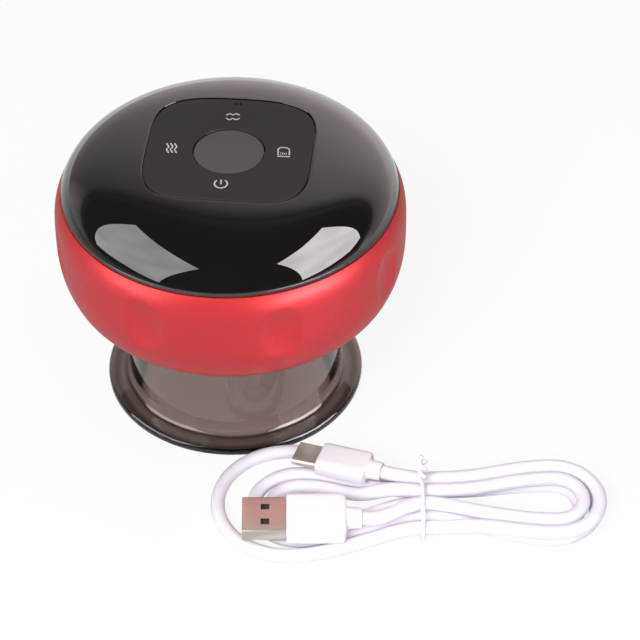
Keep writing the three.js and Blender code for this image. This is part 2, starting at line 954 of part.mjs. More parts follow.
function makeGripRing() {
  const inner_foot = ledge_top + ring.wall;
  const ledge_inner_radius = socket_outer_radius + ring.ledge_clearance;
  let body = turned([
    ...ringOutline(),
    [lip_radius, ledge_underside],
    [ledge_inner_radius, ledge_underside],
    [ledge_inner_radius, ledge_top],
    [ring_inner_radius - ring.wall, ledge_top],
    [ring_inner_radius, inner_foot],
    [ring_inner_radius, seam_height],
  ], head_facets);
  for (let i = 0; i < ring.dimple_count; i += 1) {
    body = body.subtract(dimpleAt(ring.dimple_phase + (i * 2 * Math.PI) / ring.dimple_count));
  }
  for (const [x, y] of placesAround(base.screw_count, base_screw_radius, base.screw_phase)) {
    const boss_top = ledge_top + ring.boss_height;
    const boss = disc(ring.boss_radius, ledge_underside, boss_top, small_facets);
    const pilot = disc(screw.pilot_radius, ledge_underside - overrun, boss_top + overrun, thread_facets);
    body = body.add(at(boss, x, y)).subtract(at(pilot, x, y));
  }
  const snap_height = rim_underside - cover.snap_drop;
  const pocket_reach = cover.snap_reach + seat_gap;
  const pocket = block(pocket_reach * 2, cover.snap_width + 2 * seat_gap, cover.snap_height + 2 * seat_gap,
    ring_inner_radius, 0, snap_height);
  body = body.subtract(around(pocket, cover.snap_count, cover.snap_phase));
  const post_top = charge_board_top - charging.board_thickness - seat_gap;
  for (const side of [-1, 1]) {
    body = body.add(block(ring.post_width, ring.post_width, post_top - ledge_underside, side * ring.post_spread,
      ring_inner_radius - ring.post_inset, (post_top + ledge_underside) / 2));
  }
  const hole_width = charging.socket_width + 2 * charging.hole_margin;
  const hole_height = charging.socket_height + 2 * charging.hole_margin;
  const hole = roundedBlock(hole_width, hole_height, (hole_height - charging.hole_margin) / 2,
    ring_inner_radius - overrun, head_radius + overrun, edge_steps);
  body = body.subtract(at(alongY(hole), 0, 0, socket_height));
  addPiece('grip_ring', body, finishes.red);
}

function makeBaseCover() {
  const turret_end = lensBottom() - base.turret_recess;
  let body = turned([
    [0, deck_underside],
    [turret_inner_radius, deck_underside],
    [turret_inner_radius, turret_end],
    [turret_radius, turret_end],
    [turret_radius, deck_underside],
    [socket_radius, deck_underside],
    [socket_radius, base_height],
    [base_radius, base_height],
    [base_radius, flange_top],
    [socket_outer_radius, flange_top],
    [socket_outer_radius, deck_top],
    [0, deck_top],
  ], base_facets);
  for (const [x, y] of placesAround(base.screw_count, base_screw_radius, base.screw_phase)) {
    const sink_top = base_height + screw.head_height + seat_gap;
    const sink = disc(screw.head_radius + seat_gap, base_height - overrun, sink_top, thread_facets);
    const hole = disc(screw.pilot_radius, base_height - overrun, flange_top + overrun, thread_facets);
    body = body.subtract(at(sink, x, y)).subtract(at(hole, x, y));
  }
  for (let i = 0; i < base.vent_count; i += 1) {
    const vent = block(base.vent_length, base.vent_width, base.flange_thickness + overrun, base_screw_radius, 0,
      (base_height + flange_top) / 2);
    const turn = Math.PI / 2 + (i - (base.vent_count - 1) / 2) * base.vent_pitch;
    body = body.subtract(aboutZ(vent, turn));
  }
  body = body.add(batterySaddles()).add(pumpSaddles());
  const nozzle = disc(pump.nozzle_radius, deckMiddle(), deck_top + port.height, thread_facets);
  const bore = disc(pump.nozzle_bore, deck_underside - overrun, deck_top + port.height + overrun,
    thread_facets);
  body = body.add(at(nozzle, port.place_x, port.place_y)).subtract(at(bore, port.place_x, port.place_y));
  const valve_bore = disc(valve.seat_radius, deck_underside - overrun, deck_top + overrun, thread_facets);
  body = body.subtract(at(valve_bore, valve_port_x, valve.place_y));
  addPiece('base_cover', body, finishes.black);
}

// What stands on the deck starts in the middle of it, so that the two are one
function deckMiddle() {
  return (deck_underside + deck_top) / 2;
}

function batterySaddles() {
  const top = deck_top + battery.saddle_rise;
  const cell = alongX(disc(battery.radius + seat_gap, -battery.length, battery.length));
  const ribs = [-1, 1].map((side) => block(battery.saddle_width, battery.saddle_depth, top - deckMiddle(),
    side * battery.saddle_spread, battery.back_shift, (top + deckMiddle()) / 2));
  const on_deck = disc(socket_outer_radius - seat_gap, deck_underside, top + overrun, head_facets);
  return ribs[0].add(ribs[1]).subtract(at(cell, 0, battery.back_shift, battery_axis)).intersect(on_deck);
}

function pumpSaddles() {
  const can_underside = pump_axis - pump.can_flat - seat_gap;
  const case_underside = pump_axis - pump.case_height / 2 - seat_gap;
  const low = deckMiddle();
  let saddles = block(pump.case_length / 2, pump.case_width / 2, case_underside - low, case_middle,
    pump.front_shift, (case_underside + low) / 2);
  for (const x of [pump.can_start + pump.saddle_width, pump.can_start + pump.can_length - pump.saddle_width]) {
    saddles = saddles.add(block(pump.saddle_width, pump.saddle_depth, can_underside - low, x, pump.front_shift,
      (can_underside + low) / 2));
  }
  for (const side of [-1, 1]) {
    const boss = ringOf(screw.pilot_radius, ring.boss_radius, low, clamp_foot_underside - seat_gap,
      small_facets);
    saddles = saddles.add(at(boss, clamp_middle, pump.front_shift + side * clamp_foot_place));
  }
  return saddles;
}

function makeBaseScrews() {
  placesAround(base.screw_count, base_screw_radius, base.screw_phase).forEach(([x, y], i) => {
    addPiece(`base_screw_${i + 1}`, at(screwBody(base_height, screw.length), x, y), finishes.steel);
  });
}

function makeSuctionCup() {
  const inner = cup_inner_radius;
  const outer = cup_wall_radius;
  const foot = cup_foot_radius;
  const edge = cup.foot_edge;
  const foot_top = cup.foot_thickness;
  const body = turned([
    ...bend([inner, cup.mouth_depth], [inner, 0], [outer + cup.mouth_reach, 0]),
    ...bend([foot - edge, 0], [foot, 0], [foot, edge], cup.edge_steps),
    ...bend([foot, foot_top - edge], [foot, foot_top], [foot - edge, foot_top], cup.edge_steps),
    ...bend([outer + cup.foot_fillet, foot_top], [outer, foot_top], [outer, foot_top + cup.foot_fillet],
      cup.fillet_steps),
    [outer, cup_height - seat_gap],
    [outer - seat_gap, cup_height],
    [inner + seat_gap, cup_height],
    [inner, cup_height - seat_gap],
  ], cup_facets);
  addPiece('suction_cup', body, finishes.smoke);
}

function makeCupSeal() {
  const bottom = cup_height + seat_gap;
  const top = bottom + seal.thickness;
  const inner = turret_radius + seal.turret_gap;
  const outer = socket_radius - seal.socket_gap;
  addPiece('cup_seal', turned([
    [inner + seal.lip, bottom],
    [outer - seal.lip, bottom],
    [outer, (bottom + top) / 2],
    [outer - seal.lip, top],
    [inner + seal.lip, top],
    [inner, (bottom + top) / 2],
  ], base_facets), finishes.silicone);
}

function lensTop() {
  return deck_underside - ceiling.board_drop - ceiling.lens_drop;
}

function lensBottom() {
  return lensTop() - ceiling.lens_thickness;
}

function makeCeilingPlates() {
  const lamps_underside = deck_underside - ceiling.board_drop;
  const lamps_top = lamps_underside + ceiling.board_thickness;
  const seat = lamps_underside - seat_gap;
  let lamp_board = ringOf(ceiling.board_hole_radius, plate_radius, lamps_underside, lamps_top, base_facets);
  const lamp = block(ceiling.lamp_width, ceiling.lamp_width, ceiling.lamp_height * 2,
    (lens_inner_radius + plate_radius) / 2, 0, lamps_underside);
  lamp_board = lamp_board.add(around(lamp, ceiling.lamp_count));
  for (const [x, y] of placesAround(ceiling.post_count, plate_radius / 2, ceiling.post_phase)) {
    const post_bottom = (lamps_underside + lamps_top) / 2;
    const post = disc(screw.head_radius, post_bottom, deck_underside - seat_gap, thread_facets);
    lamp_board = lamp_board.add(at(post, x, y));
  }
  addPiece('lamp_board', lamp_board, finishes.green_board);
  const lens_bottom = lensBottom();
  const land_radius = plate_radius - ceiling.lens_land / 2;
  addPiece('lens_ring', turned([
    [lens_inner_radius, lens_bottom],
    [plate_radius - ceiling.lens_land, lens_bottom],
    [plate_radius, lens_bottom + ceiling.lens_land / 2],
    [plate_radius, seat],
    [land_radius, seat],
    [land_radius, lensTop()],
    [lens_inner_radius, lensTop()],
  ], base_facets), finishes.red_lens);
  const heat_top = lens_bottom + ceiling.heat_thickness;
  const heat_radius = lens_inner_radius - ceiling.lens_gap;
  const rim_inner = heat_radius - ceiling.heat_rim;
  let heat_plate = turned([
    [ceiling.suction_hole_radius, lens_bottom],
    [heat_radius - ceiling.heat_thickness / 2, lens_bottom],
    [heat_radius, lens_bottom + ceiling.heat_thickness / 2],
    [heat_radius, seat],
    [rim_inner, seat],
    [rim_inner, heat_top],
    [ceiling.suction_hole_radius, heat_top],
  ]);
  const bleed = disc(screw.pilot_radius, lens_bottom - overrun, heat_top + overrun, thread_facets);
  const bleed_place = (ceiling.suction_hole_radius + rim_inner) / 2;
  for (const [x, y] of placesAround(ceiling.bleed_count, bleed_place, 0)) {
    heat_plate = heat_plate.subtract(at(bleed, x, y));
  }
  addPiece('heat_plate', heat_plate, finishes.aluminium);
  const filter_bottom = lens_bottom + seat_gap;
  addPiece('suction_filter', disc(ceiling.filter_radius, filter_bottom, filter_bottom + ceiling.filter_height,
    small_facets), finishes.foam);
}

function makeBattery() {
  const half = battery.length / 2;
  const groove = half - battery.groove_place;
  const edge = battery.groove_depth;
  const cell = turned([
    [0, -half],
    [battery.radius - edge, -half],
    [battery.radius, edge - half],
    [battery.radius, groove - edge * 2],
    [battery.radius - edge, groove - edge],
    [battery.radius - edge, groove + edge],
    [battery.radius, groove + edge * 2],
    [battery.radius, half - edge],
    [battery.radius - edge, half],
    [battery.cap_radius, half],
    [battery.cap_radius, half + battery.cap_height],
    [0, half + battery.cap_height],
  ]);
  addPiece('battery_cell', at(alongX(cell), 0, battery.back_shift, battery_axis), finishes.cell_blue);
}

function makeCharging() {
  const board_back = ring_inner_radius - charging.board_inset;
  const board_front = board_back - charging.board_depth;
  const bottom = charge_board_top - charging.board_thickness;
  const sheet = roundedBlock(charging.board_width, charging.board_depth, charging.board_corner, bottom,
    charge_board_top);
  const corner_cut = ringOf(ring_inner_radius - seat_gap * 2, head_radius + overrun, bottom - overrun,
    charge_board_top + overrun, head_facets);
  const chip = block(charging.chip_width, charging.chip_depth, charging.chip_height, 0,
    board_front + charging.chip_width / 2, charge_board_top + charging.chip_height / 4);
  const charge_board = at(sheet, 0, (board_front + board_back) / 2).subtract(corner_cut).add(chip);
  addPiece('charge_board', charge_board, finishes.green_board);
  const wall = charging.socket_wall;
  const outer = roundedBlock(charging.socket_width, charging.socket_height, charging.socket_height / 2 - wall,
    0, charging.socket_depth, edge_steps);
  const inner_height = charging.socket_height - 2 * wall;
  const inner = roundedBlock(charging.socket_width - 2 * wall, inner_height, inner_height / 2 - wall, wall * 3,
    charging.socket_depth + overrun, edge_steps);
  const tongue = block(charging.tongue_width, charging.tongue_height, charging.tongue_depth + wall, 0, 0,
    (charging.tongue_depth + wall) / 2 + wall);
  const socket = outer.subtract(inner).add(tongue);
  const socket_back = head_radius - charging.mouth_inset - charging.socket_depth;
  addPiece('charge_socket', at(alongY(socket), 0, socket_back, socket_height), finishes.steel);
}

// A motor shape: a round can with flats above and below, along Z before it is laid down
function canShape(radius, flat, bottom, top) {
  const round = disc(radius, bottom, top);
  const flats = block(flat * 2, radius * 2 + overrun, top - bottom + overrun, 0, 0, (top + bottom) / 2);
  return round.intersect(flats);
}

function laidPump(body, x = 0) {
  return at(alongX(body), x, pump.front_shift, pump_axis);
}

function makeMotor() {
  const wall = pump.can_wall;
  const length = pump.can_length;
  const shell = canShape(pump.can_radius, pump.can_flat, pump.cap_thickness, length);
  const hollow = canShape(pump.can_radius - wall, pump.can_flat - wall, 0, length - wall);
  const front_hole = disc(pump.shaft_radius + seat_gap, length - overrun, length + overrun, thread_facets);
  addPiece('motor_can', laidPump(shell.subtract(hollow).subtract(front_hole), pump.can_start), finishes.steel);
  let cap = canShape(pump.can_radius, pump.can_flat, 0, pump.cap_thickness - seat_gap);
  cap = cap.add(disc(pump.cap_boss_radius, -pump.cap_thickness / 2, pump.cap_thickness / 2, small_facets));
  const cap_hole = disc(pump.shaft_radius + seat_gap, -pump.cap_thickness / 4, pump.cap_thickness + overrun,
    thread_facets);
  cap = cap.subtract(cap_hole);
  for (const side of [-1, 1]) {
    cap = cap.add(block(pump.terminal_width, pump.terminal_thickness, pump.terminal_length, 0,
      side * pump.terminal_spread, -pump.terminal_length / 2 + pump.terminal_thickness));
  }
  addPiece('motor_end_cap', laidPump(cap, pump.can_start), finishes.nylon);
  const magnet_start = (length - pump.magnet_length) / 2 + pump.cap_thickness / 2;
  for (const [name, side] of [['motor_magnet_front', -1], ['motor_magnet_back', 1]]) {
    const shape = new THREE.Shape();
    const middle = (side * Math.PI) / 2;
    const outer = pump.magnet_inner_radius + pump.magnet_thickness;
    const [from, to] = [middle - pump.magnet_half_angle, middle + pump.magnet_half_angle];
    shape.absarc(0, 0, outer, from, to, false);
    shape.absarc(0, 0, pump.magnet_inner_radius, to, from, true);
    addPiece(name, laidPump(plate(shape, magnet_start, magnet_start + pump.magnet_length), pump.can_start),
      finishes.magnet);
  }
}

function makeRotor() {
  const tail = -pump.cap_thickness / 4 + seat_gap;
  const tip = case_middle - pump.can_start + pump.eccentric_width / 2 + pump.case_gap;
  const shaft = disc(pump.shaft_radius, tail, tip, thread_facets);
  const start = (pump.can_length - pump.armature_length) / 2 + pump.cap_thickness / 2;
  let armature = disc(pump.armature_radius, start, start + pump.armature_length);
  const slot = block(pump.armature_radius, pump.armature_slot, pump.armature_length + overrun,
    pump.armature_core + pump.armature_radius / 2, 0, start + pump.armature_length / 2);
  armature = armature.subtract(around(slot, pump.armature_slot_count));
  const commutator = disc(pump.commutator_radius, pump.cap_thickness + seat_gap, start + seat_gap,
    thread_facets);
  addPiece('motor_rotor', laidPump(shaft.add(armature).add(commutator), pump.can_start), finishes.copper);
}

// The connecting rod's ring turns on the eccentric, which stands a throw behind the shaft
function makeEccentricAndRod() {
  const start = case_middle - pump.eccentric_width / 2;
  const wheel = at(disc(pump.eccentric_radius, 0, pump.eccentric_width, pump.eccentric_facets), 0, pump.throw);
  const eccentric = wheel.subtract(disc(pump.shaft_radius + seat_gap, -overrun, pump.eccentric_width + overrun,
    thread_facets));
  addPiece('eccentric', laidPump(eccentric, start), finishes.tin);
  const rod_inner = pump.eccentric_radius + seat_gap;
  const rod_outer = rod_inner + pump.rod_wall;
  const rod_start = (pump.eccentric_width - pump.rod_width) / 2;
  const eye = ringOf(rod_inner, rod_outer, 0, pump.rod_width, pump.eccentric_facets);
  const neck_length = pump.rod_reach - rod_inner - pump.rod_plate_thickness / 2;
  const neck = block(pump.rod_neck, neck_length, pump.rod_width, 0, rod_inner + neck_length / 2 + seat_gap,
    pump.rod_width / 2);
  const head = alongY(disc(pump.rod_plate_radius, pump.rod_reach - pump.rod_plate_thickness, pump.rod_reach));
  let rod = eye.add(neck).add(at(head, 0, 0, pump.rod_width / 2));
  rod = at(rod, 0, pump.throw);
  addPiece('connecting_rod', laidPump(rod, start + rod_start), finishes.nylon);
}

function makePumpBody() {
  const wall = pump.case_wall;
  const outer = block(pump.case_length, pump.case_width, pump.case_height, case_middle, pump.front_shift,
    pump_axis);
  const inner = block(pump.case_length - 2 * wall, pump.case_width - 2 * wall, pump.case_height - 2 * wall,
    case_middle, pump.front_shift, pump_axis);
  const mouth = alongY(disc(pump.mouth_radius, case_back - wall - overrun, case_back + overrun));
  const shaft_hole = alongX(disc(pump.shaft_radius + seat_gap, -overrun, wall + overrun, thread_facets));
  const crank_case = outer.subtract(inner)
    .subtract(at(mouth, case_middle, 0, pump_axis))
    .subtract(at(shaft_hole, case_start, pump.front_shift, pump_axis));
  addPiece('crank_case', crank_case, finishes.nylon);
  const bead = pump.diaphragm_bead;
  const bead_radius = pump.diaphragm_radius - bead * 2;
  const thickness = pump.diaphragm_thickness;
  const diaphragm = turned([
    [0, 0],
    [pump.rod_plate_radius, 0],
    [pump.rod_plate_radius + bead, bead],
    [bead_radius - bead, bead],
    [bead_radius, 0],
    [pump.diaphragm_radius, 0],
    [pump.diaphragm_radius, thickness],
    [bead_radius, thickness],
    [bead_radius - bead, thickness + bead / 2],
    [pump.rod_plate_radius + bead, thickness + bead / 2],
    [pump.rod_plate_radius, thickness],
    [0, thickness],
  ], small_facets);
  addPiece('diaphragm', behindCase(diaphragm, diaphragm_front), finishes.rubber);
  const across = [pump.case_length, pump.case_height, pump.head_corner];
  let valve_plate = roundedBlock(...across, 0, pump.valve_plate_thickness);
  const hole = disc(pump.valve_hole_radius, -overrun, pump.valve_plate_thickness + overrun, thread_facets);
  let head = roundedBlock(...across, 0, pump.head_depth);
  const chamber = roundedBlock(pump.case_length - 4 * wall, pump.case_height / 2 - 2 * wall,
    pump.head_corner / 2, -overrun, pump.head_depth - wall);
  const nozzle = alongX(disc(pump.nozzle_radius, pump.case_length / 2 - wall, nozzle_reach, thread_facets));
  const bore = alongX(disc(pump.nozzle_bore, wall, nozzle_reach + overrun, thread_facets));
  for (const [side, turn] of [[-1, 0], [1, half_turn]]) {
    valve_plate = valve_plate.subtract(at(hole, 0, side * pump.valve_hole_spread));
    head = head.subtract(at(chamber, 0, (side * pump.case_height) / 4));
    const height = side * pump.nozzle_rise;
    head = head.add(at(nozzle.rotate([0, 0, turn]), 0, height, pump.head_depth / 2));
    head = head.subtract(at(bore.rotate([0, 0, turn]), 0, height, pump.head_depth / 2));
  }
  addPiece('valve_plate', behindCase(valve_plate, valve_plate_front), finishes.tin);
  addPiece('pump_head', behindCase(head, pump_head_front), finishes.nylon);
}

function behindCase(body, front) {
  return at(alongY(body), case_middle, front, pump_axis);
}

function makeClamp() {
  const inner = pump.can_radius + seat_gap;
  const outer = inner + pump.clamp_thickness;
  const flat = pump.can_flat + seat_gap;
  const half = pump.clamp_width / 2;
  const shell = canShape(outer, flat + pump.clamp_thickness, -half, half);
  const hollow = canShape(inner, flat, -half - overrun, half + overrun);
  const below = block(outer * 2, outer * 4, pump.clamp_width * 2, pump.can_flat / 2 + outer, 0, 0);
  let strap = shell.subtract(hollow).subtract(below);
  const strap_end = pump.can_flat / 2;
  for (const side of [-1, 1]) {
    const foot_middle = side * clamp_foot_place;
    const leg = block(pump.can_flat - strap_end + pump.clamp_thickness, pump.clamp_thickness, pump.clamp_width,
      (strap_end + pump.can_flat - pump.clamp_thickness) / 2, side * (outer - pump.clamp_thickness / 2), 0);
    const foot = block(pump.clamp_thickness, pump.clamp_foot + pump.clamp_thickness, pump.clamp_width,
      pump.can_flat - pump.clamp_thickness / 2, foot_middle - (side * pump.clamp_thickness) / 2, 0);
    const hole = alongX(disc(screw.pilot_radius, -pump.clamp_width, pump.clamp_width, thread_facets));
    strap = strap.add(leg).add(foot).subtract(at(hole, pump.can_flat, foot_middle));
  }
  addPiece('pump_clamp', laidPump(strap, clamp_middle), finishes.tin);
  const underside = clamp_foot_underside + pump.clamp_thickness + seat_gap;
  const upside_down = screwBody(0, underside - deck_top - seat_gap).rotate([half_turn, 0, 0]);
  for (const [name, side] of [['clamp_screw_front', -1], ['clamp_screw_back', 1]]) {
    const place = pump.front_shift + side * clamp_foot_place;
    addPiece(name, at(upside_down, clamp_middle, place, underside + screw.head_height), finishes.steel);
  }
}

function makeSuctionTube() {
  const nozzle_y = pump_head_front + pump.head_depth / 2;
  const nozzle_z = pump_axis - pump.nozzle_rise;
  const nozzle_tip = case_middle - nozzle_reach;
  const start_x = nozzle_tip + tube.overlap;
  const port_top = deck_top + port.height;
  const bend_start = new THREE.Vector3(nozzle_tip - tube.straight, nozzle_y, nozzle_z);
  const bend_end = new THREE.Vector3(port.place_x, port.place_y, port_top + tube.straight);
  const corner_pull = (bend_start.x - bend_end.x) * tube.pull_share;
  const route = new THREE.CubicBezierCurve3(
    bend_start,
    bend_start.clone().setX(bend_start.x - corner_pull),
    bend_end.clone().setZ(bend_end.z + corner_pull),
    bend_end,
  );
  const points = [
    new THREE.Vector3(start_x, nozzle_y, nozzle_z),
    ...route.getPoints(tube.bend_steps),
    new THREE.Vector3(port.place_x, port.place_y, port_top - tube.overlap + tube.straight),
  ];
  const hose = steppedTube(points, tube.bore + tube.wall, tube.facets, tube.bore);
  addPiece('suction_tube', hose, finishes.silicone);
}

function makeReleaseValve() {
  const body_bottom = deck_top + seat_gap;
  const pocket_floor = valve_body_top - valve.plunger_lift;
  const spigot_radius = valve.seat_radius - seat_gap;
  const spigot = disc(spigot_radius, deckMiddle(), body_bottom + valve.body_corner, thread_facets);
  const channel = disc(spigot_radius / 2, deck_underside, valve_body_top - valve.body_corner, thread_facets);
  const plunger_hole = valve.plunger_radius + seat_gap;
  const body = roundedBlock(valve.body_width, valve.body_width, valve.body_corner, body_bottom, valve_body_top)
    .add(at(spigot, -valve.port_inset, 0))
    .subtract(at(channel, -valve.port_inset, 0))
    .subtract(disc(plunger_hole, pocket_floor, valve_body_top + overrun, small_facets));
  addPiece('valve_body', atValve(body), finishes.nylon);
  const waist = valve.coil_radius - valve.coil_cheek / 2;
  const cheek_radius = valve.coil_radius + valve.coil_cheek;
  const coil = turned([
    [valve.coil_bore, coil_bottom],
    [cheek_radius, coil_bottom],
    [cheek_radius, coil_bottom + valve.coil_cheek],
    [waist, coil_bottom + valve.coil_cheek],
    [waist, coil_top - valve.coil_cheek],
    [cheek_radius, coil_top - valve.coil_cheek],
    [cheek_radius, coil_top],
    [valve.coil_bore, coil_top],
  ]);
  addPiece('valve_coil', atValve(coil), finishes.copper);
  const side = cheek_radius + seat_gap;
  const strip = block((side + valve.yoke_thickness) * 2, valve.yoke_width, yoke_top - yoke_bottom, 0, 0,
    (yoke_top + yoke_bottom) / 2);
  const window = block(side * 2, valve.yoke_width + overrun, coil_top - coil_bottom + 2 * seat_gap, 0, 0,
    (coil_top + coil_bottom) / 2);
  const yoke = strip.subtract(window)
    .subtract(disc(plunger_hole, yoke_bottom - overrun, yoke_top + overrun, small_facets));
  addPiece('valve_yoke', atValve(yoke), finishes.tin);
  const plunger = turned([
    [0, pocket_floor + valve.stroke + seat_gap],
    [valve.plunger_radius, pocket_floor + valve.stroke + seat_gap],
    [valve.plunger_radius, valve_disc_bottom],
    [valve.disc_radius, valve_disc_bottom],
    [valve.disc_radius, valve_disc_top],
    [0, valve_disc_top],
  ], small_facets);
  addPiece('valve_plunger', atValve(plunger), finishes.steel);
  const turns = [];
  const steps = valve.spring_turns * valve.spring_turn_steps;
  const rise = spring_height - 2 * valve.spring_wire;
  for (let i = 0; i <= steps; i += 1) {
    const angle = (i * 2 * Math.PI) / valve.spring_turn_steps;
    turns.push(new THREE.Vector3(valve.spring_radius * Math.cos(angle), valve.spring_radius * Math.sin(angle),
      spring_bottom + valve.spring_wire + (rise * i) / steps));
  }
  addPiece('valve_spring', atValve(steppedTube(turns, valve.spring_wire, valve.spring_facets)), finishes.steel);
}

function atValve(body) {
  return at(body, valve_x, valve.place_y);
}

// Where a strand passes the tie: its place across, and its layer
function slotAt(pitches, layer, slack = 0) {
  return { across: pitches * strand_pitch + slack, layer };
}

function layerHeight(layer, lifted) {
  const tie_room = lifted ? tie.gauge + tie.clearance : 0;
  return cable.diameter / 2 + cable.lift + layer * layer_pitch + tie_room;
}

// A point of a strand between the tie (share 0) and the start of its lobe's bend (share 1)
function flarePoint(lobe, slot, layer, edge, [ramp_start, ramp_end], share) {
  const foot = lobe.reach - lobe.half_width;
  const ramp = easeShare((share - ramp_start) / (ramp_end - ramp_start));
  return new THREE.Vector3(
    lobe.side * foot * share,
    mix(slot.across, lobe.shift + edge, easeShare(share)),
    mix(layerHeight(slot.layer, true), layerHeight(layer, false), ramp),
  );
}

// One lobe, from the tie round its bend to just short of the tie
function lobePoints(lobe, layer, from, to, turn, back_shares = cable.rise_shares) {
  const points = [];
  const foot = lobe.reach - lobe.half_width;
  const edge = turn * lobe.half_width;
  for (let i = 0; i < cable.flare_steps; i += 1) {
    points.push(flarePoint(lobe, from, layer, edge, cable.rise_shares, i / cable.flare_steps));
  }
  for (let i = 0; i <= cable.bend_steps; i += 1) {
    const angle = (i / cable.bend_steps) * Math.PI;
    points.push(new THREE.Vector3(
      lobe.side * (foot + lobe.half_width * Math.sin(angle)),
      lobe.shift + edge * Math.cos(angle),
      layerHeight(layer, false),
    ));
  }
  for (let i = cable.flare_steps - 1; i > 0; i -= 1) {
    points.push(flarePoint(lobe, to, layer, -edge, back_shares, i / cable.flare_steps));
  }
  return points;
}

// Plug frames: X runs along the plug from its tip to its cable
function placeUsbA(body) {
  const rolled = body.rotate([THREE.MathUtils.radToDeg(usb_a.roll), 0, 0]);
  return placeHank(at(rolled, 0, usb_a.across, usb_a.height));
}

function placeUsbC(body) {
  const pitched = aboutZ(body.rotate([0, THREE.MathUtils.radToDeg(-usb_c.pitch), 0]), usb_c.turn);
  return placeHank(at(pitched, usb_c.neck_x, usb_c.neck_y, usb_c.height));
}

function placeHank(body) {
  return at(aboutZ(body, cable.turn), cable.place_x, cable.place_y);
}

function hankPoints() {
  const far = slotAt(-2, 0, -cable.edge_slack);
  const near_low = slotAt(-1, 0);
  const middle_low = slotAt(0, 0);
  const back_low = slotAt(1, 0);
  const back_far = slotAt(2, 0);
  const near_top = slotAt(-1, 1);
  const middle_top = slotAt(0, 1);
  const back_top = slotAt(1, 1);
  const shapes = lobe_shapes;
  const along_c = new THREE.Vector3(Math.cos(usb_c.turn), Math.sin(usb_c.turn), usb_c.pitch);
  const start = new THREE.Vector3(usb_c.neck_x, usb_c.neck_y, usb_c.height).addScaledVector(along_c, seat_gap);
  const end = new THREE.Vector3(usb_a.neck_end + seat_gap, usb_a.across, usb_a.height);
  const last_knot = new THREE.Vector3(0, near_top.across, layerHeight(1, true));
  const [along, sideways, upwards] = cable.last_bend_shares;
  return [
    start,
    start.clone().addScaledVector(along_c, cable.exit_length),
    ...lobePoints(shapes.top_outer, 1, back_top, far, 1, cable.long_rise_shares),
    ...lobePoints(shapes.left_outer, 0, far, back_far, -1),
    ...lobePoints(shapes.right_outer, 0, back_far, near_low, 1),
    ...lobePoints(shapes.left_middle, 0, near_low, back_low, -1),
    ...lobePoints(shapes.right_inner, 0, back_low, middle_low, 1),
    ...lobePoints(shapes.left_inner, 0, middle_low, middle_top, -1, cable.late_rise_shares),
    ...lobePoints(shapes.top_inner, 1, middle_top, near_top, 1),
    last_knot,
    new THREE.Vector3(
      mix(end.x, last_knot.x, along),
      mix(end.y, last_knot.y, sideways),
      mix(end.z, last_knot.z, upwards),
    ),
    end.clone().setX(end.x + cable.exit_length),
    end,
  ];
}

// The least gap between the cable's strands, measured on points along its middle line
function leastGap(points) {
  const fine = [];
  let length = 0;
  for (let i = 0; i < points.length - 1; i += 1) {
    const span = points[i].distanceTo(points[i + 1]);
    const count = Math.ceil(span / cable.measure_step);
    for (let k = 0; k < count; k += 1) {
      const point = points[i].clone().lerp(points[i + 1], k / count);
      fine.push({ point, along: length + (span * k) / count });
    }
    length += span;
  }
  let least = Infinity;
  for (const one of fine) {
    for (const other of fine) {
      if (other.along - one.along > cable.least_loop) {
        least = Math.min(least, one.point.distanceTo(other.point));
      }
    }
  }
  return { least: least - cable.diameter, length };
}

function makeCable() {
  const points = hankPoints();
  const measured = leastGap(points);
  const [length, gap] = [measured.length.toFixed(0), measured.least.toFixed(2)];
  console.log(`cable: ${length} mm long, least gap to itself ${gap} mm`);
  addPiece('charge_cable', placeHank(steppedTube(points, cable.diameter / 2, cable.facets)), finishes.white);
}

// The tie goes once round the strands, and its two ends are twisted together above them
function makeTie() {
  const off = cable.diameter / 2 + tie.clearance + tie.gauge / 2;
  const low = layerHeight(0, true);
  const high = layerHeight(1, true);
  const wide = 2 * strand_pitch + cable.edge_slack;
  const corner = Math.atan2(wide - strand_pitch, high - low);
  const reach = off * tie.reach_share;
  const beside = (across, height, angle) => {
    return [across + reach * Math.cos(angle), height + reach * Math.sin(angle)];
  };
  const half_round = [
    beside(strand_pitch, high, Math.PI * tie.over_share),
    beside(strand_pitch, high, corner),
    ...tie.round_shares.map((share) => beside(wide, low, corner * share)),
    [wide - tie.gauge / 2, low - off],
  ];
  const twist_radius = (tie.gauge + tie.clearance) / 2 + tie.clearance / 2;
  const twist_start = high + off + tie.gauge;
  const tail = (side) => {
    const points = [];
    for (let i = tie.tail_steps; i >= 0; i -= 1) {
      const share = i / tie.tail_steps;
      const angle = share * tie.tail_turns * 2 * Math.PI;
      const rise = share * tie.tail_length;
      points.push(new THREE.Vector3(
        side * twist_radius * Math.sin(angle),
        side * twist_radius * Math.cos(angle) + rise * (1 - tie.tail_lean_share),
        twist_start + rise * tie.tail_lean_share,
      ));
    }
    return points;
  };
  const points = [
    ...tail(1),
    ...half_round.map(([y, z]) => new THREE.Vector3(0, y, z)),
    ...half_round.reverse().map(([y, z]) => new THREE.Vector3(0, -y, z)),
    ...tail(-1).reverse(),
  ];
  addPiece('cable_tie', placeHank(steppedTube(points, tie.gauge / 2, tie.facets)), finishes.white);
}

// A hollow shell that lies along X with its mouth at the start
function plugShell(width, height, corner, wall, length) {
  const outer = roundedBlock(width, height, corner, 0, length, plug_facets);
  const inner = roundedBlock(width - 2 * wall, height - 2 * wall, Math.max(corner - wall, wall / 2), -overrun,
    length - wall, plug_facets);
  return outer.subtract(inner);
}

function lieAlongX(body, x) {
  return at(alongX(body.rotate([0, 0, quarter_turn])), x, 0);
}

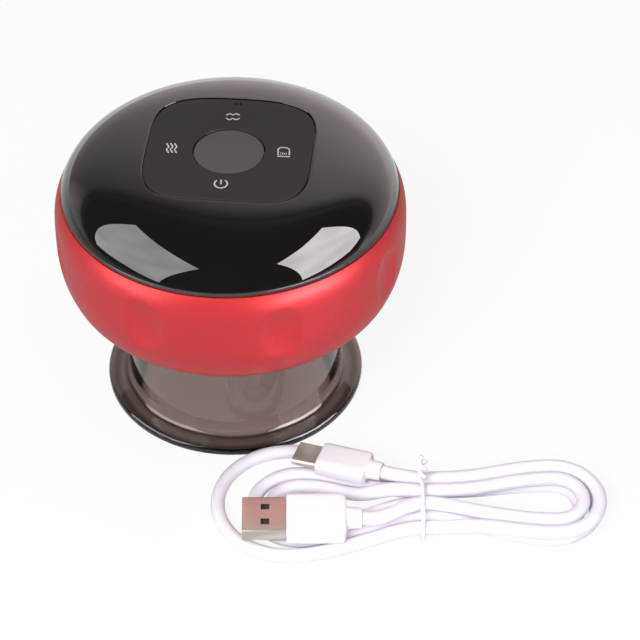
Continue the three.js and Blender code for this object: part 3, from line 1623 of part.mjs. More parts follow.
function makeUsbA() {
  const shell_length = usb_a.shell_end - usb_a.tip + usb_a.shell_seat;
  let shell = lieAlongX(plugShell(usb_a.shell_width, usb_a.shell_height, usb_a.shell_corner, usb_a.shell_wall,
    shell_length), usb_a.tip);
  for (const side of [-1, 1]) {
    shell = shell.subtract(block(usb_a.window_length, usb_a.window_width, usb_a.shell_height * 2,
      usb_a.tip + usb_a.window_place, side * usb_a.window_spread, 0));
  }
  addPiece('usb_a_shell', placeUsbA(shell), finishes.steel);
  const tongue_low = seat_gap + usb_a.shell_wall - usb_a.shell_height / 2;
  const tongue = block(shell_length - usb_a.shell_wall - 2 * seat_gap, usb_a.tongue_width, usb_a.tongue_height,
    usb_a.tip + (shell_length - usb_a.shell_wall) / 2, 0, tongue_low + usb_a.tongue_height / 2);
  addPiece('usb_a_tongue', placeUsbA(tongue), finishes.white);
  const grip_length = usb_a.grip_end - usb_a.shell_end;
  let grip = roundedBlock(usb_a.grip_width, usb_a.grip_height, usb_a.grip_corner, 0, grip_length, plug_facets);
  const neck_length = usb_a.neck_end - usb_a.shell_end;
  grip = grip.add(disc(usb_a.neck_radius, grip_length - overrun, neck_length, small_facets));
  const seat = roundedBlock(usb_a.shell_width + 2 * seat_gap, usb_a.shell_height + 2 * seat_gap,
    usb_a.shell_corner + seat_gap, -overrun, usb_a.shell_seat + seat_gap, plug_facets);
  grip = lieAlongX(grip.subtract(seat), usb_a.shell_end);
  addPiece('usb_a_overmould', placeUsbA(grip), finishes.white);
}

function makeUsbC() {
  const corner = usb_c.shell_height / 2 - usb_c.shell_wall / 2;
  const grip_start = -usb_c.neck_length - usb_c.grip_length;
  const tip = grip_start - usb_c.shell_length;
  const shell = plugShell(usb_c.shell_width, usb_c.shell_height, corner, usb_c.shell_wall,
    usb_c.shell_length + usb_c.shell_seat);
  addPiece('usb_c_shell', placeUsbC(lieAlongX(shell, tip)), finishes.steel);
  let grip = roundedBlock(usb_c.grip_width, usb_c.grip_height, usb_c.grip_corner, 0, usb_c.grip_length,
    plug_facets);
  grip = grip.add(disc(usb_c.neck_radius, usb_c.grip_length - overrun, usb_c.grip_length + usb_c.neck_length,
    small_facets));
  const seat = roundedBlock(usb_c.shell_width + 2 * seat_gap, usb_c.shell_height + 2 * seat_gap,
    corner + seat_gap / 2, -overrun, usb_c.shell_seat + seat_gap, plug_facets);
  addPiece('usb_c_overmould', placeUsbC(lieAlongX(grip.subtract(seat), grip_start)), finishes.white);
}

makeSuctionCup();
makeCupSeal();
makeGripRing();
makeBaseCover();
makeBaseScrews();
makeTopCover();
makeKeyPanel();
makeDisplay();
makeLightPipe();
makeKeyBoard();
makeKeySwitches();
makeBoardScrews();
makeCeilingPlates();
makeBattery();
makeCharging();
makeMotor();
makeRotor();
makeEccentricAndRod();
makePumpBody();
makeClamp();
makeSuctionTube();
makeReleaseValve();
makeCable();
makeTie();
makeUsbA();
makeUsbC();

export default massager;
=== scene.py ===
import json
import math

import bmesh
import bpy
from mathutils import Matrix, Vector


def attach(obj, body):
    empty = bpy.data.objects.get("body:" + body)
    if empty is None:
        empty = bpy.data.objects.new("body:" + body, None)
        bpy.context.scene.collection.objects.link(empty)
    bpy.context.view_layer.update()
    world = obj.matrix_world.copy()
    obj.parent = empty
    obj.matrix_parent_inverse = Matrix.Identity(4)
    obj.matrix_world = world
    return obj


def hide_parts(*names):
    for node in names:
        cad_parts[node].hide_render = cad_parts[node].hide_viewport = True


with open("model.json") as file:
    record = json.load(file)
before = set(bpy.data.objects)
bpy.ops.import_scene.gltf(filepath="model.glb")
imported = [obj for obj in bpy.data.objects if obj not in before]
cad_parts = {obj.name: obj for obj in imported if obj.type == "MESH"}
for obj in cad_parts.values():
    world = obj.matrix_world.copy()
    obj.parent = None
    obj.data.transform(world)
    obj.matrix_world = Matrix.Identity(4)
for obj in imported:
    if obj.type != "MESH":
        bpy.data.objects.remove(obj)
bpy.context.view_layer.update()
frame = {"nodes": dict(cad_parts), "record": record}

scene = bpy.context.scene
MM = 0.001

# Sizes in millimetres, those of the CAD source apart from the dome's edge, the dimples and the window

HEAD = {
    "total": 82.6, "radius": 50.0, "seam_radius": 47.9, "seam": 69.5, "widest": 55.0, "tuck_radius": 47.6,
    "tuck": 41.8, "base": 37.6, "foot_radius": 42.5, "gap": 0.3, "wall": 2.2, "spigot": 1.8,
    "spigot_foot": 66.0, "roof": 2.9,
}
DOME = {
    "edge": 47.55, "edge_height": 70.9, "reach": 49.36, "radial": 2.25, "rim_radius": 47.7,
    "rim_underside": 69.8,
}
PANEL = {
    "half": 23.2, "power": 4.0, "shift": 2.0, "groove": 0.35, "thick": 1.0, "recess": 1.3, "sink": 0.05,
}
WINDOW = {"radius": 9.85, "hole": 10.15, "top": 82.1, "thick": 0.6, "opening": 8.0}
KEY_HOLE = 2.1
KEY_RADIUS = 15.7
PIPE = {"back": 22.9, "radius": 0.75, "hole": 1.05, "foot": 74.2}
DIMPLE = {
    "count": 8, "phase": math.pi / 8, "height": 56.2, "length": 21.0, "width": 14.6, "depth": 1.3,
    "soft": 0.1,
}
SOCKET = {"width": 9.64, "height": 3.86, "level": 50.28}
BASE = {
    "screws": 38.05, "deck": 45.8, "collar": 26.4, "collar_wall": 1.8, "collar_foot": 38.6, "skirt": 32.0,
    "wall": 2.0, "rim": 42.1, "rim_thick": 2.2, "screw_head": 2.7, "screw_shank": 1.4, "screw_seat": 39.3,
}
CEILING = {
    "face": 39.6, "back": 42.1, "lens_inner": 16.6, "lens_outer": 26.1, "heat_outer": 16.2, "nozzle": 4.2,
    "bleed_ring": 9.0, "bleed": 1.4,
}
SEAL = {"inner": 29.1, "outer": 31.2, "bulge": 0.4, "low": 43.7, "high": 45.2}
CUP = {
    "wall_radius": 31.5, "wall": 2.5, "height": 43.4, "foot_radius": 38.0, "foot": 2.6, "edge": 1.1,
    "fillet": 2.3, "mouth_radius": 32.4, "mouth_depth": 5.0,
}
CABLE = {
    "diameter": 4.0, "pitch": 4.75, "layer": 4.85, "slack": 0.25, "lift": 0.1, "place": (59.0, -55.0),
    "turn": 0.096, "flare_steps": 8, "bend_steps": 12,
}
TIE = {
    "gauge": 1.1, "clearance": 0.3, "length": 9.0, "turns": 1.5, "steps": 40, "lean": 0.8, "corner": 1.08,
}
PLUG_WALL = 0.35
USB_A = {
    "tip": -50.3, "shell_end": -38.0, "grip_end": -21.5, "neck_end": -17.0, "across": -10.7, "height": 8.7,
    "roll": 0.14, "shell": (12.0, 4.5, 0.6), "seat": (12.6, 5.1, 0.8),
}
USB_C = {
    "x": -11.0, "y": 7.0, "height": 8.9, "turn": -0.36, "pitch": 0.055, "neck": 4.0, "grip": 14.5,
    "reach": 7.4, "shell": (8.25, 2.4, 1.05), "seat": (8.85, 3.0, 1.2),
}

# The hank's lobes: the side they point to, how far they reach, half their width and their shift
LOBES = {
    "right_outer": (1, 49.4, 12.85, 0.0),
    "right_inner": (1, 44.6, 8.0, 0.0),
    "top_outer": (1, 49.9, 12.85, -2.2),
    "top_inner": (1, 45.2, 8.0, -2.2),
    "left_outer": (-1, 57.5, 20.4, 1.7),
    "left_middle": (-1, 47.5, 13.0, 0.0),
    "left_inner": (-1, 42.5, 8.2, 0.0),
}


def mix(a, b, share):
    return a + (b - a) * share


def ease(share):
    held = min(max(share, 0.0), 1.0)
    return held * held * (3 - 2 * held)


def at(x, y, z=0.0):
    """The place of a point that is given in millimetres."""
    return Matrix.Translation((x * MM, y * MM, z * MM))


def polar(radius, angle):
    return radius * math.cos(angle), radius * math.sin(angle)


def turns(count):
    """The angles of equal steps round a circle."""
    return [2 * math.pi * i / count for i in range(count)]


# The camera

CAMERA = {"tilt": 41.8, "turn": 5, "away": 0.7272, "right": 0.0254, "up": 0.01418, "lens": 135.66}


def make_camera():
    tilt = math.radians(CAMERA["tilt"])
    right = Vector((1, 0, 0))
    up = Vector((0, math.sin(tilt), math.cos(tilt)))
    back = Vector((0, -math.cos(tilt), math.sin(tilt)))
    place = back * CAMERA["away"] + right * CAMERA["right"] + up * CAMERA["up"]
    basis = Matrix((right, up, back)).transposed().to_4x4()
    data = bpy.data.cameras.new("camera")
    data.sensor_fit = "HORIZONTAL"
    data.sensor_width = 36.0
    data.lens = CAMERA["lens"]
    data.clip_start = 0.01
    data.clip_end = 50.0
    camera = bpy.data.objects.new("camera", data)
    scene.collection.objects.link(camera)
    turn = Matrix.Rotation(math.radians(CAMERA["turn"]), 4, "Z")
    camera.matrix_world = turn @ Matrix.Translation(place) @ basis
    scene.camera = camera


make_camera()


# Mesh building. Points are in millimetres.

def finish_mesh(mesh, sharp):
    work = bmesh.new()
    work.from_mesh(mesh)
    bmesh.ops.remove_doubles(work, verts=work.verts, dist=1e-7)
    bmesh.ops.recalc_face_normals(work, faces=work.faces)
    work.to_mesh(mesh)
    work.free()
    mesh.shade_smooth()
    mesh.set_sharp_from_angle(angle=math.radians(sharp))


def mesh_object(name, points, faces, sharp=35, place=None):
    mesh = bpy.data.meshes.new(name)
    scaled = [Vector(p) * MM for p in points]
    if place is not None:
        scaled = [place @ p for p in scaled]
    mesh.from_pydata(scaled, [], faces)
    finish_mesh(mesh, sharp)
    piece = bpy.data.objects.new(name, mesh)
    scene.collection.objects.link(piece)
    return piece


def skin(rings, closed=False, caps=(False, False)):
    """Points and faces of the surface through rings of equally many points."""
    points = [p for ring in rings for p in ring]
    count = len(rings[0])
    faces = []
    last = len(rings) if closed else len(rings) - 1
    for k in range(last):
        low, high = k * count, ((k + 1) % len(rings)) * count
        for i in range(count):
            j = (i + 1) % count
            faces.append((low + i, low + j, high + j, high + i))
    if caps[0]:
        faces.append(tuple(range(count - 1, -1, -1)))
    if caps[1]:
        faces.append(tuple(range(len(points) - count, len(points))))
    return points, faces


def solid(name, rings, sharp=35, place=None):
    """A mesh through rings, closed at both ends."""
    return mesh_object(name, *skin(rings, caps=(True, True)), sharp, place)


def circle(radius, z, segments):
    return [(*polar(radius, a), z) for a in turns(segments)]


def lathe(name, outline, segments=160, sharp=35, place=None):
    """outline is [radius, height] pairs. One that starts on the axis ends there too, others are closed."""
    rings = [circle(r, z, segments) for r, z in outline]
    return mesh_object(name, *skin(rings, closed=outline[0][0] > 0), sharp, place)


def bore(radius, low, high, segments, place):
    """A round cutter from low to high."""
    return lathe("hole", [(0, low), (radius, low), (radius, high), (0, high)], segments, 35, place)


def arc(start, corner, end, steps):
    """A quarter bend from start towards corner and on to end."""
    points = []
    for i in range(steps + 1):
        t = i / steps
        a, b, c = (1 - t) ** 2, 2 * t * (1 - t), t * t
        points.append(tuple(a * p + b * q + c * r for p, q, r in zip(start, corner, end)))
    return points


def bevelled(outline, size=0.25, steps=2):
    """A closed outline with a small rounded bevel at each corner."""
    points = []
    count = len(outline)
    for i, corner in enumerate(outline):
        before, after = Vector(outline[i - 1]), Vector(outline[(i + 1) % count])
        here = Vector(corner)
        inset = min(size, (before - here).length / 2.2, (after - here).length / 2.2)
        if inset < 1e-4:
            points.append(tuple(here))
            continue
        start = here + (before - here).normalized() * inset
        end = here + (after - here).normalized() * inset
        points.extend(arc(tuple(start), tuple(here), tuple(end), steps))
    return points


def rounded_ring(width, height, corner, steps):
    points = []
    for quarter, (sx, sy) in enumerate(((1, 1), (-1, 1), (-1, -1), (1, -1))):
        cx, cy = sx * (width / 2 - corner), sy * (height / 2 - corner)
        for i in range(steps + 1):
            dx, dy = polar(corner, (quarter + i / steps) * math.pi / 2)
            points.append((cx + dx, cy + dy))
    return points


def loft_along_x(sections, steps):
    """Rings of rounded rectangles, from (x, width, height, corner) sections."""
    rings = []
    for x, width, height, corner in sections:
        rings.append([(x, y, z) for y, z in rounded_ring(width, height, corner, steps)])
    return rings


def tube_rings(path, radius, facets):
    rings = []
    normal = None
    for i, point in enumerate(path):
        ahead = path[min(i + 1, len(path) - 1)] - path[max(i - 1, 0)]
        along = ahead.normalized()
        if normal is None:
            normal = along.orthogonal().normalized()
        normal = (normal - along * normal.dot(along)).normalized()
        side = along.cross(normal)
        spokes = [normal * math.cos(a) + side * math.sin(a) for a in turns(facets)]
        rings.append([tuple(point + spoke * radius) for spoke in spokes])
    return rings


def smooth_path(points, steps):
    """A Catmull-Rom curve through the points."""
    ends = [points[0] * 2 - points[1]] + points + [points[-1] * 2 - points[-2]]
    path = []
    for i in range(1, len(ends) - 2):
        a, b, c, d = ends[i - 1:i + 3]
        for k in range(steps):
            t = k / steps
            path.append(0.5 * ((2 * b) + (c - a) * t + (2 * a - 5 * b + 4 * c - d) * t ** 2
                               + (3 * b - a - 3 * c + d) * t ** 3))
    path.append(points[-1])
    return path


def cut(piece, cutters):
    """Subtracts closed meshes from a piece."""
    for cutter in cutters:
        step = piece.modifiers.new("cut", "BOOLEAN")
        step.operation = "DIFFERENCE"
        step.solver = "EXACT"
        step.object = cutter
    graph = bpy.context.evaluated_depsgraph_get()
    made = bpy.data.meshes.new_from_object(piece.evaluated_get(graph), depsgraph=graph)
    piece.modifiers.clear()
    old = piece.data
    name = old.name
    piece.data = made
    bpy.data.meshes.remove(old)
    made.name = name
    for cutter in cutters:
        bpy.data.objects.remove(cutter, do_unlink=True)
    made.shade_smooth()
    made.set_sharp_from_angle(angle=math.radians(32))


# The charging cable: its hank is the one of the CAD source, with finer steps

HANK = at(*CABLE["place"]) @ Matrix.Rotation(CABLE["turn"], 4, "Z")
ALONG_C = Vector((math.cos(USB_C["turn"]), math.sin(USB_C["turn"]), USB_C["pitch"]))


def layer_height(layer, lifted):
    room = TIE["gauge"] + TIE["clearance"] if lifted else 0
    return CABLE["diameter"] / 2 + CABLE["lift"] + layer * CABLE["layer"] + room


def flare_point(lobe, slot, layer, edge, ramp, share):
    side, reach, half, shift = LOBES[lobe]
    across, slot_layer = slot
    rise = ease((share - ramp[0]) / (ramp[1] - ramp[0]))
    return Vector((
        side * (reach - half) * share,
        mix(across, shift + edge, ease(share)),
        mix(layer_height(slot_layer, True), layer_height(layer, False), rise),
    ))


def lobe_points(lobe, layer, start, end, turn, back=(0.0, 0.5)):
    side, reach, half, shift = LOBES[lobe]
    edge = turn * half
    flare, bends = CABLE["flare_steps"], CABLE["bend_steps"]
    points = [flare_point(lobe, start, layer, edge, (0.0, 0.5), i / flare) for i in range(flare)]
    for i in range(bends + 1):
        a = i / bends * math.pi
        points.append(Vector((side * (reach - half + half * math.sin(a)), shift + edge * math.cos(a),
                              layer_height(layer, False))))
    points += [flare_point(lobe, end, layer, -edge, back, i / flare) for i in range(flare - 1, 0, -1)]
    return points


def hank_points():
    p = CABLE["pitch"]
    far = (-2 * p - CABLE["slack"], 0)
    near_low, middle_low, back_low, back_far = (-p, 0), (0.0, 0), (p, 0), (2 * p, 0)
    near_top, middle_top, back_top = (-p, 1), (0.0, 1), (p, 1)
    leave = CABLE["diameter"] * 1.05
    start = Vector((USB_C["x"], USB_C["y"], USB_C["height"])) + ALONG_C * HEAD["gap"]
    end = Vector((USB_A["neck_end"] + HEAD["gap"], USB_A["across"], USB_A["height"]))
    top = layer_height(1, True)
    return [
        start,
        start + ALONG_C * leave,
        *lobe_points("top_outer", 1, back_top, far, 1, (0.0, 0.6)),
        *lobe_points("left_outer", 0, far, back_far, -1),
        *lobe_points("right_outer", 0, back_far, near_low, 1),
        *lobe_points("left_middle", 0, near_low, back_low, -1),
        *lobe_points("right_inner", 0, back_low, middle_low, 1),
        *lobe_points("left_inner", 0, middle_low, middle_top, -1, (0.15, 0.6)),
        *lobe_points("top_inner", 1, middle_top, near_top, 1),
        flare_point("top_inner", near_top, 1, 0.0, (0.0, 0.5), 0.0),
        Vector((mix(end.x, 0, 0.68), mix(end.y, -p, 0.66), mix(end.z, top, 0.8))),
        end + Vector((leave, 0, 0)),
        end,
    ]


def make_cable():
    path = smooth_path(hank_points(), 3)
    data = bpy.data.curves.new("cable", "CURVE")
    data.dimensions = "3D"
    data.bevel_depth = CABLE["diameter"] / 2 * MM
    data.bevel_resolution = 6
    data.use_fill_caps = True
    spline = data.splines.new("POLY")
    spline.points.add(len(path) - 1)
    for point, here in zip(spline.points, path):
        point.co = (*(HANK @ (here * MM)), 1.0)
    spline.use_smooth = True
    piece = bpy.data.objects.new("cable", data)
    scene.collection.objects.link(piece)
    return piece


def make_tie():
    off = CABLE["diameter"] / 2 + TIE["clearance"] + TIE["gauge"] / 2
    low, high = layer_height(0, True), layer_height(1, True)
    p = CABLE["pitch"]
    wide = 2 * p + CABLE["slack"]
    corner = math.atan2(wide - p, high - low)
    reach = off * TIE["corner"]

    def beside(across, height, angle):
        return across + reach * math.cos(angle), height + reach * math.sin(angle)

    half = [beside(p, high, math.pi * 0.47), beside(p, high, corner)]
    half += [beside(wide, low, angle) for angle in (corner, corner * 0.25, -corner * 0.6, -corner * 1.35)]
    half.append((wide - TIE["gauge"] / 2, low - off))
    radius = (TIE["gauge"] + TIE["clearance"]) / 2 + TIE["clearance"] / 2
    foot = high + off + TIE["gauge"]

    def tail(side):
        points = []
        for i in range(TIE["steps"], -1, -1):
            share = i / TIE["steps"]
            angle = share * TIE["turns"] * 2 * math.pi
            rise = share * TIE["length"]
            points.append(Vector((side * radius * math.sin(angle),
                                  side * radius * math.cos(angle) + rise * (1 - TIE["lean"]),
                                  foot + rise * TIE["lean"])))
        return points

    band = [Vector((0, y, z)) for y, z in half] + [Vector((0, -y, z)) for y, z in reversed(half)]
    path = tail(1)[:-1] + smooth_path([tail(1)[-1], *band, tail(-1)[-1]], 5) + tail(-1)[::-1][1:]
    return solid("cable_tie_wire", tube_rings(path, TIE["gauge"] / 2, 12), 60, HANK)


PLACE_A = HANK @ at(0, USB_A["across"], USB_A["height"]) @ Matrix.Rotation(USB_A["roll"], 4, "X")
PLACE_C = (HANK @ at(USB_C["x"], USB_C["y"], USB_C["height"])
           @ Matrix.Rotation(USB_C["turn"], 4, "Z") @ Matrix.Rotation(-USB_C["pitch"], 4, "Y"))


def plug_shell(name, tip, end, size, place):
    """A plug's metal shell: an open mouth with a rolled lip, and a closed far end inside the overmould."""
    width, height, corner = size
    wall = PLUG_WALL
    inner = (width - 2 * wall, height - 2 * wall, corner - wall * 0.9)
    lip = wall * 0.4
    sections = [
        (end, width, height, corner),
        (tip + lip, width, height, corner),
        (tip + lip * 0.3, width - lip * 0.5, height - lip * 0.5, corner - lip * 0.25),
        (tip, width - lip * 1.6, height - lip * 1.6, corner - lip * 0.8),
        (tip + lip * 0.3, inner[0] + lip * 0.4, inner[1] + lip * 0.4, inner[2] + lip * 0.2),
        (tip + lip * 1.4, *inner),
        (end - wall, *inner),
    ]
    return solid(name, loft_along_x(sections, 10), 35, place)


def overmould(name, start, sections, seat, steps, place):
    """A plug's grip with the shell's pocket. A section is a distance from the start, a size and a corner."""
    body = solid(name, loft_along_x([(start + x, *size) for x, *size in sections], 10), 50, place)
    pocket = loft_along_x([(start - 1, *seat), (start + 3.3, *seat)], steps)
    cut(body, [solid("seat", pocket, 35, place)])
    return body


def box_object(name, low, high, place):
    x0, y0, z0 = low
    x1, y1, z1 = high
    rings = [[(x, y, z) for x, y in ((x0, y0), (x1, y0), (x1, y1), (x0, y1))] for z in (z0, z1)]
    return solid(name, rings, 35, place)


def make_usb_a():
    tip, start = USB_A["tip"], USB_A["shell_end"]
    shell = plug_shell("usb_a_case", tip, start + 3, USB_A["shell"], PLACE_A)
    hole, from_tip, from_middle = (2.4, 2.0), 5.2, 2.5
    windows = []
    for side in (-1, 1):
        low = (tip + from_tip, side * from_middle - hole[1] / 2, -5)
        windows.append(box_object("window", low, (low[0] + hole[0], low[1] + hole[1], 5), PLACE_A))
    cut(shell, windows)
    size, chamfered = (10.7, 1.8, 0.25), (10.3, 1.4, 0.2)
    lift = PLUG_WALL + HEAD["gap"] - (USB_A["shell"][1] - size[1]) / 2
    rings = loft_along_x([(tip + 0.6, *chamfered), (tip + 0.85, *size), (start + 2, *size)], 3)
    rings = [[(x, y, z + lift) for x, y, z in ring] for ring in rings]
    tongue = solid("usb_a_insert", rings, 35, PLACE_A)
    grip, neck = USB_A["grip_end"] - start, USB_A["neck_end"] - start
    body = overmould("usb_a_grip", start, [
        (0.0, 13.6, 5.6, 1.5), (0.12, 14.1, 6.1, 1.8), (0.5, 14.5, 6.5, 2.1), (1.0, 14.6, 6.6, 2.2),
        (grip - 1.6, 14.6, 6.6, 2.2), (grip - 0.7, 14.3, 6.45, 2.2), (grip - 0.2, 13.4, 6.2, 2.3),
        (grip, 12.2, 6.0, 2.4), (grip + 0.1, 8.4, 5.9, 2.7), (grip + 0.35, 7.0, 5.85, 2.8),
        (grip + 0.9, 6.4, 5.8, 2.85), (neck - 0.5, 5.9, 5.7, 2.8), (neck - 0.1, 5.5, 5.4, 2.65),
        (neck, 4.9, 4.9, 2.4),
    ], USB_A["seat"], 4, PLACE_A)
    return shell, tongue, body


def make_usb_c():
    grip = USB_C["grip"]
    neck = grip + USB_C["neck"]
    start = -neck
    shell = plug_shell("usb_c_case", start - USB_C["reach"], start + 3, USB_C["shell"], PLACE_C)
    body = overmould("usb_c_grip", start, [
        (0.0, 9.9, 4.9, 2.1), (0.12, 10.2, 5.2, 2.25), (0.5, 10.5, 5.5, 2.38), (0.9, 10.6, 5.6, 2.4),
        (grip - 1.4, 10.6, 5.6, 2.4), (grip - 0.5, 10.3, 5.5, 2.4), (grip - 0.1, 9.4, 5.4, 2.45),
        (grip, 8.2, 5.4, 2.5), (grip + 0.1, 6.4, 5.4, 2.6), (grip + 0.5, 5.6, 5.4, 2.65),
        (neck - 0.6, 5.4, 5.4, 2.65), (neck - 0.1, 5.1, 5.1, 2.5), (neck, 4.6, 4.6, 2.28),
    ], USB_C["seat"], 6, PLACE_C)
    return shell, body


cable = make_cable()
cable_tie = make_tie()
usb_a_shell, usb_a_tongue, usb_a_grip = make_usb_a()
usb_c_shell, usb_c_grip = make_usb_c()


# The head

def dome_height(radius):
    """Nearly flat over the panel, and falling at 68 degrees where it meets its rim."""
    def fall(r):
        return math.log(1 - (r / DOME["reach"]) ** DOME["radial"])
    share = fall(min(radius, DOME["edge"])) / fall(DOME["edge"])
    return mix(HEAD["total"], DOME["edge_height"], share)


def on_dome(places, drop=0.0):
    """Places on the dome's surface, or so much below it."""
    return [(x, y, dome_height(math.hypot(x, y)) - drop) for x, y in places]


def between(first, second, share):
    return [(mix(x0, x1, share), mix(y0, y1, share)) for (x0, y0), (x1, y1) in zip(first, second)]


def panel_ring(margin, count):
    """The panel's outline about its own middle, with a margin all round."""
    power = PANEL["power"]
    places = []
    for a in turns(count):
        corner = (abs(math.cos(a)) ** power + abs(math.sin(a)) ** power) ** (-1 / power)
        places.append(polar((PANEL["half"] + margin) * corner, a))
    return places


def make_top_cover():
    count, steps, roof_steps = 256, 44, 16
    outline = [(x, y + PANEL["shift"]) for x, y in panel_ring(PANEL["groove"], count)]

    def shrunk(share):
        return [(x * share, PANEL["shift"] + (y - PANEL["shift"]) * share) for x, y in outline]

    rings = [on_dome(shrunk(share), PANEL["recess"]) for share in (0.0, 0.4, 0.7, 0.9, 1.0)]
    rings.append(on_dome(shrunk(1.0), 0.12))
    rings.append(on_dome(shrunk(1.004), 0.02))
    edge = [polar(DOME["edge"], a) for a in turns(count)]
    for k in range(steps + 1):
        share = math.sin((k / steps) * math.pi / 2) ** 1.1
        rings.append(on_dome(between(shrunk(1.01), edge, share)))
    spigot_outer = HEAD["seam_radius"] - HEAD["wall"] - HEAD["gap"]
    spigot_inner = spigot_outer - HEAD["spigot"]
    rim, top, low = DOME["rim_radius"], DOME["edge_height"], DOME["rim_underside"]
    profile = [
        *arc((rim - 0.12, top - 0.08), (rim, top - 0.2), (rim, top - 0.4), 4),
        (rim, low + 0.1), (rim - 0.1, low), (spigot_outer, low),
        (spigot_outer, HEAD["spigot_foot"]), (spigot_inner, HEAD["spigot_foot"]),
    ]
    roof = HEAD["total"] - HEAD["roof"]
    for k in range(roof_steps):
        share = math.cos(k / roof_steps * math.pi / 2) ** 0.85
        profile.append((spigot_inner * share, mix(low - 0.4, roof, (1 - share ** 2.3) ** (1 / 2.6))))
    profile.append((0.0, roof))
    rings += [circle(r, z, count) for r, z in profile]
    piece = mesh_object("dome", *skin(rings), 30)
    holes = [(*polar(KEY_RADIUS, a), KEY_HOLE) for a in turns(4)]
    holes += [(0, 0, WINDOW["opening"]), (0, PIPE["back"], PIPE["hole"])]
    cut(piece, [bore(radius, 74, 86, 40, at(x, y)) for x, y, radius in holes])
    return piece


def make_key_panel():
    count, shift = 192, PANEL["shift"]
    hole = [(x, y - shift) for x, y in (polar(WINDOW["hole"], a) for a in turns(count))]

    def level(share, margin, drop):
        places = between(hole, panel_ring(margin, count), share)
        return on_dome([(x, y + shift) for x, y in places], drop)

    sink, thick = PANEL["sink"], PANEL["thick"]
    edges = [(0.0, 0.0, thick), (0.0, 0.0, sink + 0.25), (0.006, 0.0, sink + 0.06), (0.02, 0.0, sink)]
    edges += [(share, -0.3, sink) for share in (0.15, 0.3, 0.45, 0.6, 0.75, 0.9, 1.0)]
    edges += [(1.0, -0.12, sink + 0.05), (1.0, -0.03, sink + 0.15), (1.0, 0.0, sink + 0.32)]
    edges.append((1.0, 0.0, thick))
    piece = mesh_object("panel", *skin([level(*edge) for edge in edges], closed=True), 40)
    cut(piece, [bore(PIPE["hole"], 78, 86, 32, at(0, PIPE["back"]))])
    return piece


def make_window():
    r, top = WINDOW["radius"], WINDOW["top"]
    low = top - WINDOW["thick"]
    plug = WINDOW["opening"] - HEAD["gap"]
    outline = [
        (0, top), (r * 0.6, top), (r - 0.45, top),
        *arc((r - 0.3, top - 0.01), (r, top - 0.05), (r, top - 0.3), 4),
        (r, low), (plug, low), (plug, low - 1.2), (0, low - 1.2),
    ]
    return lathe("window", outline)


def make_light_pipe():
    bottom, top, r = PIPE["foot"], dome_height(PIPE["back"]), PIPE["radius"]
    outline = [(0, bottom), (r * 2, bottom), (r * 2, bottom + r * 2), (r, bottom + r * 2), (r, top - 0.35),
               *arc((r, top - 0.3), (r, top - 0.05), (0, top), 6)]
    return lathe("light_guide", outline, 32, 40, at(0, PIPE["back"]))


def smooth_min(a, b, k):
    h = min(max(0.5 + 0.5 * (b - a) / k, 0.0), 1.0)
    return mix(b, a, h) - k * h * (1 - h)


def dimpled(radius, z, angle):
    """The grip ring's outer radius, with its nearest dimple."""
    ball = ((DIMPLE["width"] / 2) ** 2 + DIMPLE["depth"] ** 2) / (2 * DIMPLE["depth"])
    step = 2 * math.pi / DIMPLE["count"]
    away = (angle - DIMPLE["phase"] + step / 2) % step - step / 2
    centre = HEAD["radius"] - DIMPLE["depth"] + ball
    up = (z - DIMPLE["height"]) * DIMPLE["width"] / DIMPLE["length"]
    inside = ball ** 2 - up ** 2 - (centre * math.sin(away)) ** 2
    if inside <= 0:
        return radius
    return smooth_min(radius, centre * math.cos(away) - math.sqrt(inside), DIMPLE["soft"])


def ring_outline():
    points = []
    upper = 26
    for i in range(upper + 1):
        share = (i / upper) ** 1.5
        radius = mix(HEAD["seam_radius"], HEAD["radius"], 1 - (1 - share) ** 4.8)
        points.append((radius, mix(HEAD["seam"], HEAD["widest"], share)))
    lower = 18
    for i in range(1, lower + 1):
        share = i / lower
        radius = mix(HEAD["radius"], HEAD["tuck_radius"], share ** 2.4)
        points.append((radius, mix(HEAD["widest"], HEAD["tuck"], share)))
    slope = 2.4 * (HEAD["radius"] - HEAD["tuck_radius"]) / (HEAD["widest"] - HEAD["tuck"])
    corner = (HEAD["tuck_radius"] - slope * (HEAD["tuck"] - HEAD["base"]), HEAD["base"])
    points += arc((HEAD["tuck_radius"], HEAD["tuck"]), corner, (HEAD["foot_radius"], HEAD["base"]), 16)[1:]
    return points


def make_grip_ring():
    segments = 480
    rings = []
    for radius, z in ring_outline():
        rings.append([(*polar(dimpled(radius, z, a), a), z) for a in turns(segments)])
    inner, top = HEAD["seam_radius"] - HEAD["wall"], HEAD["seam"]
    foot, shelf_low, shelf_high, shelf = HEAD["foot_radius"], 40.1, 42.1, 34.6
    back = [
        (foot, shelf_low), (shelf, shelf_low), (shelf, shelf_high), (inner - 2.2, shelf_high),
        (inner, shelf_high + 2.2), (inner, top - 0.1), (inner + 0.1, top),
    ]
    rings += [circle(r, z, segments) for r, z in back]
    piece = mesh_object("ring", *skin(rings, closed=True), 32)
    width, height = SOCKET["width"], SOCKET["height"]
    outline = rounded_ring(width, height, height / 2 - 0.18, 10)
    hole = [[(x, y, z + SOCKET["level"]) for x, z in outline] for y in (44.0, 52.0)]
    cut(piece, [solid("hole", hole)])
    return piece


